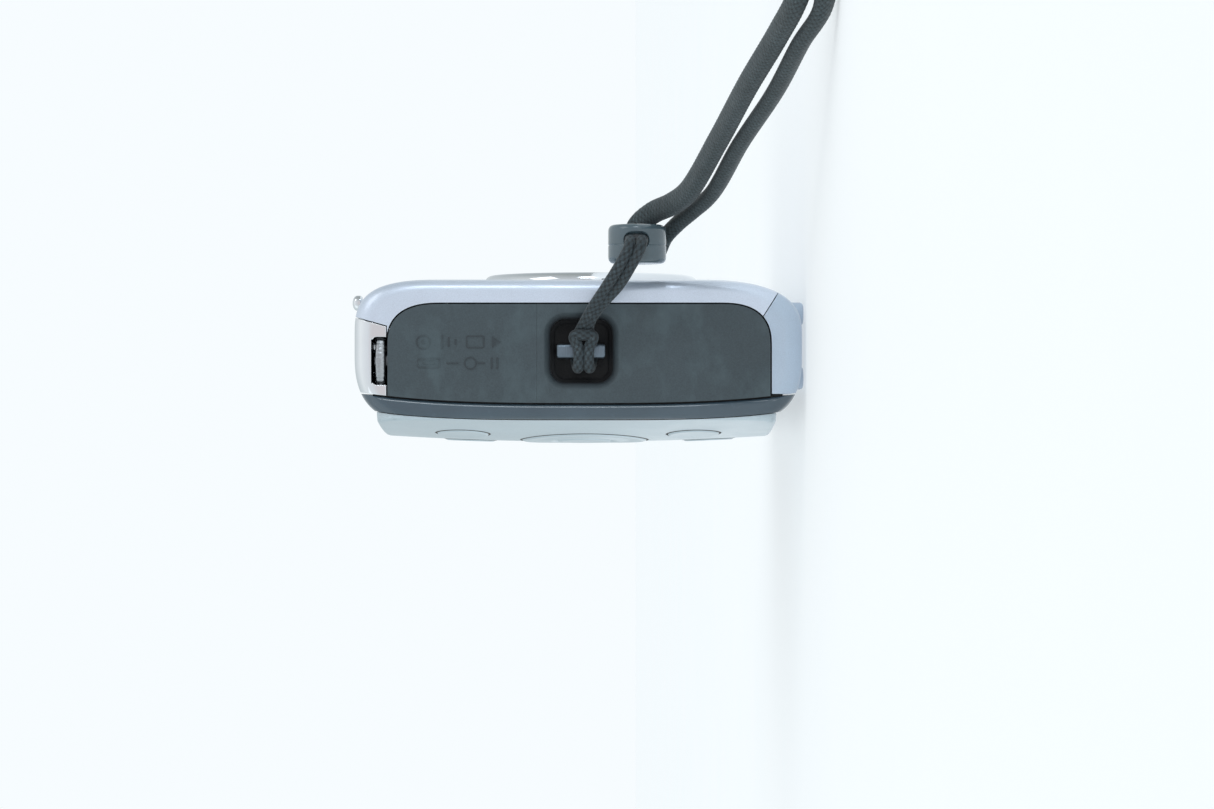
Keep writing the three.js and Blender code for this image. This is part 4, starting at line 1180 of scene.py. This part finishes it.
def make_top_buttons():
    r = SHUTTER.r
    profile = [(0, 55.4), (r, 55.4), (r, 58.1), (r - 0.1, 58.35), (r - 0.35, 58.5), (r - 0.7, 58.56)]
    profile += [(r * s, 58.35 + 0.22 * s * s) for s in (0.7, 0.5, 0.3, 0.15, 0)]
    release = lathe("release_button", "z", profile, SHUTTER.at, 96)
    finish(release, "chrome", "shutter_button", body="shutter")
    outline = rectangle_about(POWER.at, POWER.length, POWER.width, POWER.width / 2 - 0.05)
    top = TOP_Z + 0.15
    levels = [(55.6, 0), (top - 0.25, 0), (top - 0.1, -0.07), (top, -0.25)]
    power = pillow("power_key", "z", outline, levels)
    lamp = rod("lamp", "z", (POWER.at[0] + 2.4, POWER.at[1]), 0.45, top - 0.12, top + 1, 32)
    finish(cut(power, lamp), "steel", "power_button", body="power")


# ---- the lens ----
def turned_ring(name, profile, radius, sides=96):
    """A ring turned round the lens axis, with its profile's corners rounded."""
    rounded = fillet(profile, radius)
    return lathe(name, "y", rounded + rounded[:1], LENS, sides)


def make_lens():
    outer, inner, front, back = LENS_RING.outer, LENS_RING.inner, LENS_RING.front, LENS_RING.back
    ring = turned_ring("lens_bezel", [
        (inner, back), (outer - 0.5, back), (outer, back - 0.25), (outer, front + 0.95),
        (outer - 0.35, front + 0.3), (outer - 0.9, front), (inner + 0.35, front), (inner, front + 0.3),
    ], 0.4, 160)
    finish(ring, "chrome", "lens_ring")
    housing = turned_ring("lens_well", [
        (0.6, 5.2), (14.5, 5.2), (14.5, -8.9), (13.25, -8.9), (13.25, 4.3), (0.6, 4.3)], 0.2)
    finish(housing, "black_plastic", "lens_housing")
    tube = turned_ring("zoom_tube_outer", [
        (11.75, 3.4), (12.95, 3.4), (12.95, -9.2), (12.8, -9.3), (12.95, -9.4), (12.95, -9.9), (12.8, -10),
        (12.95, -10.1), (12.95, -10.9), (12.55, -11.3), (11.75, -11.3)], 0.12)
    finish(tube, "barrel_silver", "barrel_outer", body="lens_outer")
    nose = turned_ring("zoom_tube_inner", [
        (10.3, 2.8), (11.45, 2.8), (11.45, -10.5), (11.05, -10.9), (9.5, -10.9), (9.2, -10.72),
        (5.2, -10.68), (4.2, -10.4), (4.2, -10.1), (10.3, -10.1)], 0.15)
    shelf = turned_ring("shelf", [(8, -9), (10.5, -9), (10.5, -8.2), (8, -8.2)], 0.05)
    finish(join(nose, shelf), "barrel_silver", "barrel_inner", body="lens_inner")
    profile = [(7.6 * s, -8.7 + 1.3 * s * s) for s in (0, 0.15, 0.3, 0.45, 0.6, 0.75, 0.9, 1)]
    glass = lathe("front_element", "y", profile + [(7.6, -5), (0, -4.6)], LENS, 96)
    finish(glass, "lens_glass", "front_lens", body="lens_inner")


def make_blade(name, body, turn, node):
    """One shutter blade of the lens: a half disc over the aperture, with an arm to its pivot."""
    aperture, pivot, reach, thickness, swing = 4.2, 8, 9.6, 0.4, math.radians(32)
    y = -9.75

    def disc(u, v, radius):
        return rod("disc", "y", (u, v), radius, y, y + thickness, 96)

    blade = cut(disc(0, 0, aperture + 0.5), block(-20, 0.12, -30, 30, -20, 20))
    join(blade, block(0.12, 2.4, y, y + thickness, 0, pivot), disc(0.3, pivot, 1.1))
    opened = (-pivot * math.sin(swing), pivot - pivot * math.cos(swing))
    keep(blade, disc(0, 0, reach), disc(opened[0], opened[1], reach))
    to_lens = Matrix.Translation((LENS[0] * MM, 0, LENS[1] * MM))
    blade.data.transform(to_lens @ Matrix.Rotation(turn, 4, "Y"))
    blade.name = name
    finish(blade, "black_plastic", node, body=body)


def front_window(name, outline, thickness, node):
    """A clear window that follows the front of the body."""
    window = cut(copy_of(outside, name), copy_of(outside, "inner", (0, thickness, 0)))
    finish(keep(window, outline), "clear_plastic", node)


# ---- fastenings and sockets ----
def make_tripod_socket():
    outer, hole, low, top = TRIPOD.outer, TRIPOD.hole, BASE_Z - 0.04, BASE_Z + TRIPOD.depth
    pitch = 1.27
    profile = [(0, top + 1), (outer, top + 1), (outer, BASE_Z), (outer - 0.1, low), (hole + 0.3, low)]
    for k in range(4):
        z = BASE_Z + 0.7 + pitch * k
        profile += [(hole, z), (hole - 0.16, z + pitch / 2)]
    profile += [(hole, top - 0.3), (hole, top), (0, top)]
    finish(lathe("thread_insert", "z", profile, TRIPOD.at, 96), "steel", "tripod_socket")


def make_screw(name, axis, at, inner, face, node):
    """A cross-head screw. inner is where it ends inside the body, and face is where its head shows."""
    inward = math.copysign(1, inner - face)
    profile = [(0, inner), (1.15, inner), (1.15, face + 0.35 * inward), (0.95, face + 0.12 * inward),
               (0.5, face), (0, face)]
    screw = lathe(name, axis, profile, at, 48)
    for u, v in ((0.65, 0.15), (0.15, 0.65)):
        slot = [(at[0] + a * u, at[1] + b * v) for a, b in ((-1, -1), (1, -1), (1, 1), (-1, 1))]
        cut(screw, prism("slot", axis, slot, face - inward, face + 0.5 * inward))
    finish(screw, "steel", node)


def make_screws():
    for number, at in enumerate(BASE_SCREWS, 1):
        make_screw(f"base_bolt_{number}", "z", at, 5.4, BASE_Z + 0.6, f"screw_base_{number}")
    for number, at in enumerate(END_SCREWS, 1):
        make_screw(f"end_bolt_{number}", "x", at, 42.3, HALF_WIDTH - 0.25, f"screw_end_{number}")


def make_jack():
    r = JACK.r
    profile = [(0, -40.9), (r, -40.9), (r, -44.1), (r - 0.1, -44.2), (1.5, -44.2), (1.3, -44.0),
               (1.3, -42.1), (0, -42.1)]
    finish(lathe("jack_barrel", "x", profile, JACK.at, 64), "steel", "av_jack")


make_front_cover()
make_rear_trim()
make_gap_lip()
make_top_plate()
make_base()
make_latch()
make_rear_cover()
make_lcd_window()
make_rear_controls()
make_side_panel()
make_strap_bar()
make_flap()
bead = make_bead()
make_mode_dial()
make_lever()
make_top_buttons()
make_lens()
make_blade("blade_upper", "blade_right", 0, "barrier_blade_right")
make_blade("blade_lower", "blade_left", math.pi, "barrier_blade_left")
front_window("flash_cover", prism("outline", "y", flash_outline(0), -20, -2), 1.2, "flash_window")
front_window("lamp_cover", rod("outline", "y", AF_LAMP.at, AF_LAMP.r, -20, -2), 1.4, "af_lamp")
make_tripod_socket()
make_screws()
make_jack()
for spare in (outside, shell):
    bpy.data.objects.remove(spare)

CAD_FINISH = {
    "black_plastic": ("port_plate", "speaker", "flash_capacitor", "battery_bay"),
    "steel": ("usb_socket", "card_slot"),
    "circuit_board": ("memory_card", "main_board"),
    "screen_glass": ("image_sensor",),
    "chrome": ("flash_reflector",),
    "battery_film": ("battery",),
}
for slot, nodes in CAD_FINISH.items():
    for node in nodes:
        coat(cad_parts[node], MATERIALS[slot])
coat(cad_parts["lcd_panel"], SCREEN_STACK)


# ---- stage ----
WHITE = (0.93, 0.975, 1.0)
# What reflections meet from -X to +X and from -Y to +Y, as places from 0 to 1 and colours.
STUDIO = (
    ((0.0, (0.72, 0.68, 0.69)), (0.08, (0.80, 0.82, 0.85)),
     (0.45, (0.95, 0.97, 0.98)), (1.0, (0.62, 0.67, 0.69))),
    ((0.0, (0.42, 0.44, 0.43)), (0.12, (0.62, 0.64, 0.64)),
     (0.4, (1, 1, 1)), (1.0, (0.82, 0.88, 0.88))),
)
GRIP_END = (-46, 0, 28)
FLOOR_REACH = 2500


def area_light(name, place, size, power, colour=(1, 1, 1)):
    """A rectangular light aimed at the grip end."""
    data = bpy.data.lights.new(name, "AREA")
    data.shape = "RECTANGLE"
    data.size, data.size_y = size[0] * MM, size[1] * MM
    data.energy = power
    data.color = colour
    light = bpy.data.objects.new(name, data)
    light.location = Vector(place) * MM
    light.rotation_euler = (Vector(GRIP_END) - Vector(place)).to_track_quat("-Z", "Y").to_euler()
    bpy.context.collection.objects.link(light)


def make_floor():
    far = FLOOR_REACH
    corners = [(-far, -far, 0), (far, -far, 0), (far, far, 0), (-far, far, 0)]
    floor = new_object("floor", corners, [(0, 1, 2, 3)])
    paint = Paint("floor", (0.44, 0.455, 0.46), 0.7, Emission_Color=(*WHITE, 1), Emission_Strength=0.5)
    coat(floor, paint.mottle(0.008, 60).uneven(0.05, 40).done())


def make_world():
    """White for the camera and for soft light. Reflections meet a studio with darker sides."""
    world = bpy.data.worlds.new("studio")
    bpy.context.scene.world = world
    world.use_nodes = True
    nodes = Nodes(world.node_tree)
    background = nodes.tree.nodes["Background"]
    nodes.put(background.inputs["Color"], (*WHITE, 1))
    nodes.put(background.inputs["Strength"], 1.0)
    where = nodes.add("ShaderNodeTexCoord").outputs["Generated"]
    split = nodes.add("ShaderNodeSeparateXYZ", {0: where})
    mix = nodes.add("ShaderNodeMix", {"Factor": 1}, data_type="RGBA", blend_type="MULTIPLY")
    for axis, stops, target in zip("XY", STUDIO, "AB"):
        shift = nodes.add("ShaderNodeMapRange", {"From Min": -1, "Value": split.outputs[axis]})
        ramp = nodes.add("ShaderNodeValToRGB", {"Fac": shift.outputs[0]})
        elements = ramp.color_ramp.elements
        while len(elements) < len(stops):
            elements.new(0.5)
        for element, (position, colour) in zip(elements, stops):
            element.position = position
            element.color = (*colour, 1)
        nodes.put(mix.inputs[target], ramp.outputs["Color"])
    studio = nodes.add("ShaderNodeBackground", {"Color": mix.outputs["Result"]})
    is_reflection = nodes.add("ShaderNodeLightPath").outputs["Is Glossy Ray"]
    surfaces = {0: is_reflection, 1: background.outputs[0], 2: studio.outputs[0]}
    choose = nodes.add("ShaderNodeMixShader", surfaces)
    nodes.put(nodes.tree.nodes["World Output"].inputs["Surface"], choose.outputs[0])


make_floor()
make_world()
area_light("key", (-300, -420, 520), (300, 300), 0.35)
area_light("rim", (-380, -430, 28), (100, 200), 0.4, (0.85, 0.93, 1.0))
area_light("fill", (-300, 380, 420), (400, 400), 0.15, (0.92, 0.97, 1.0))
bpy.context.scene.view_settings.view_transform = "Standard"
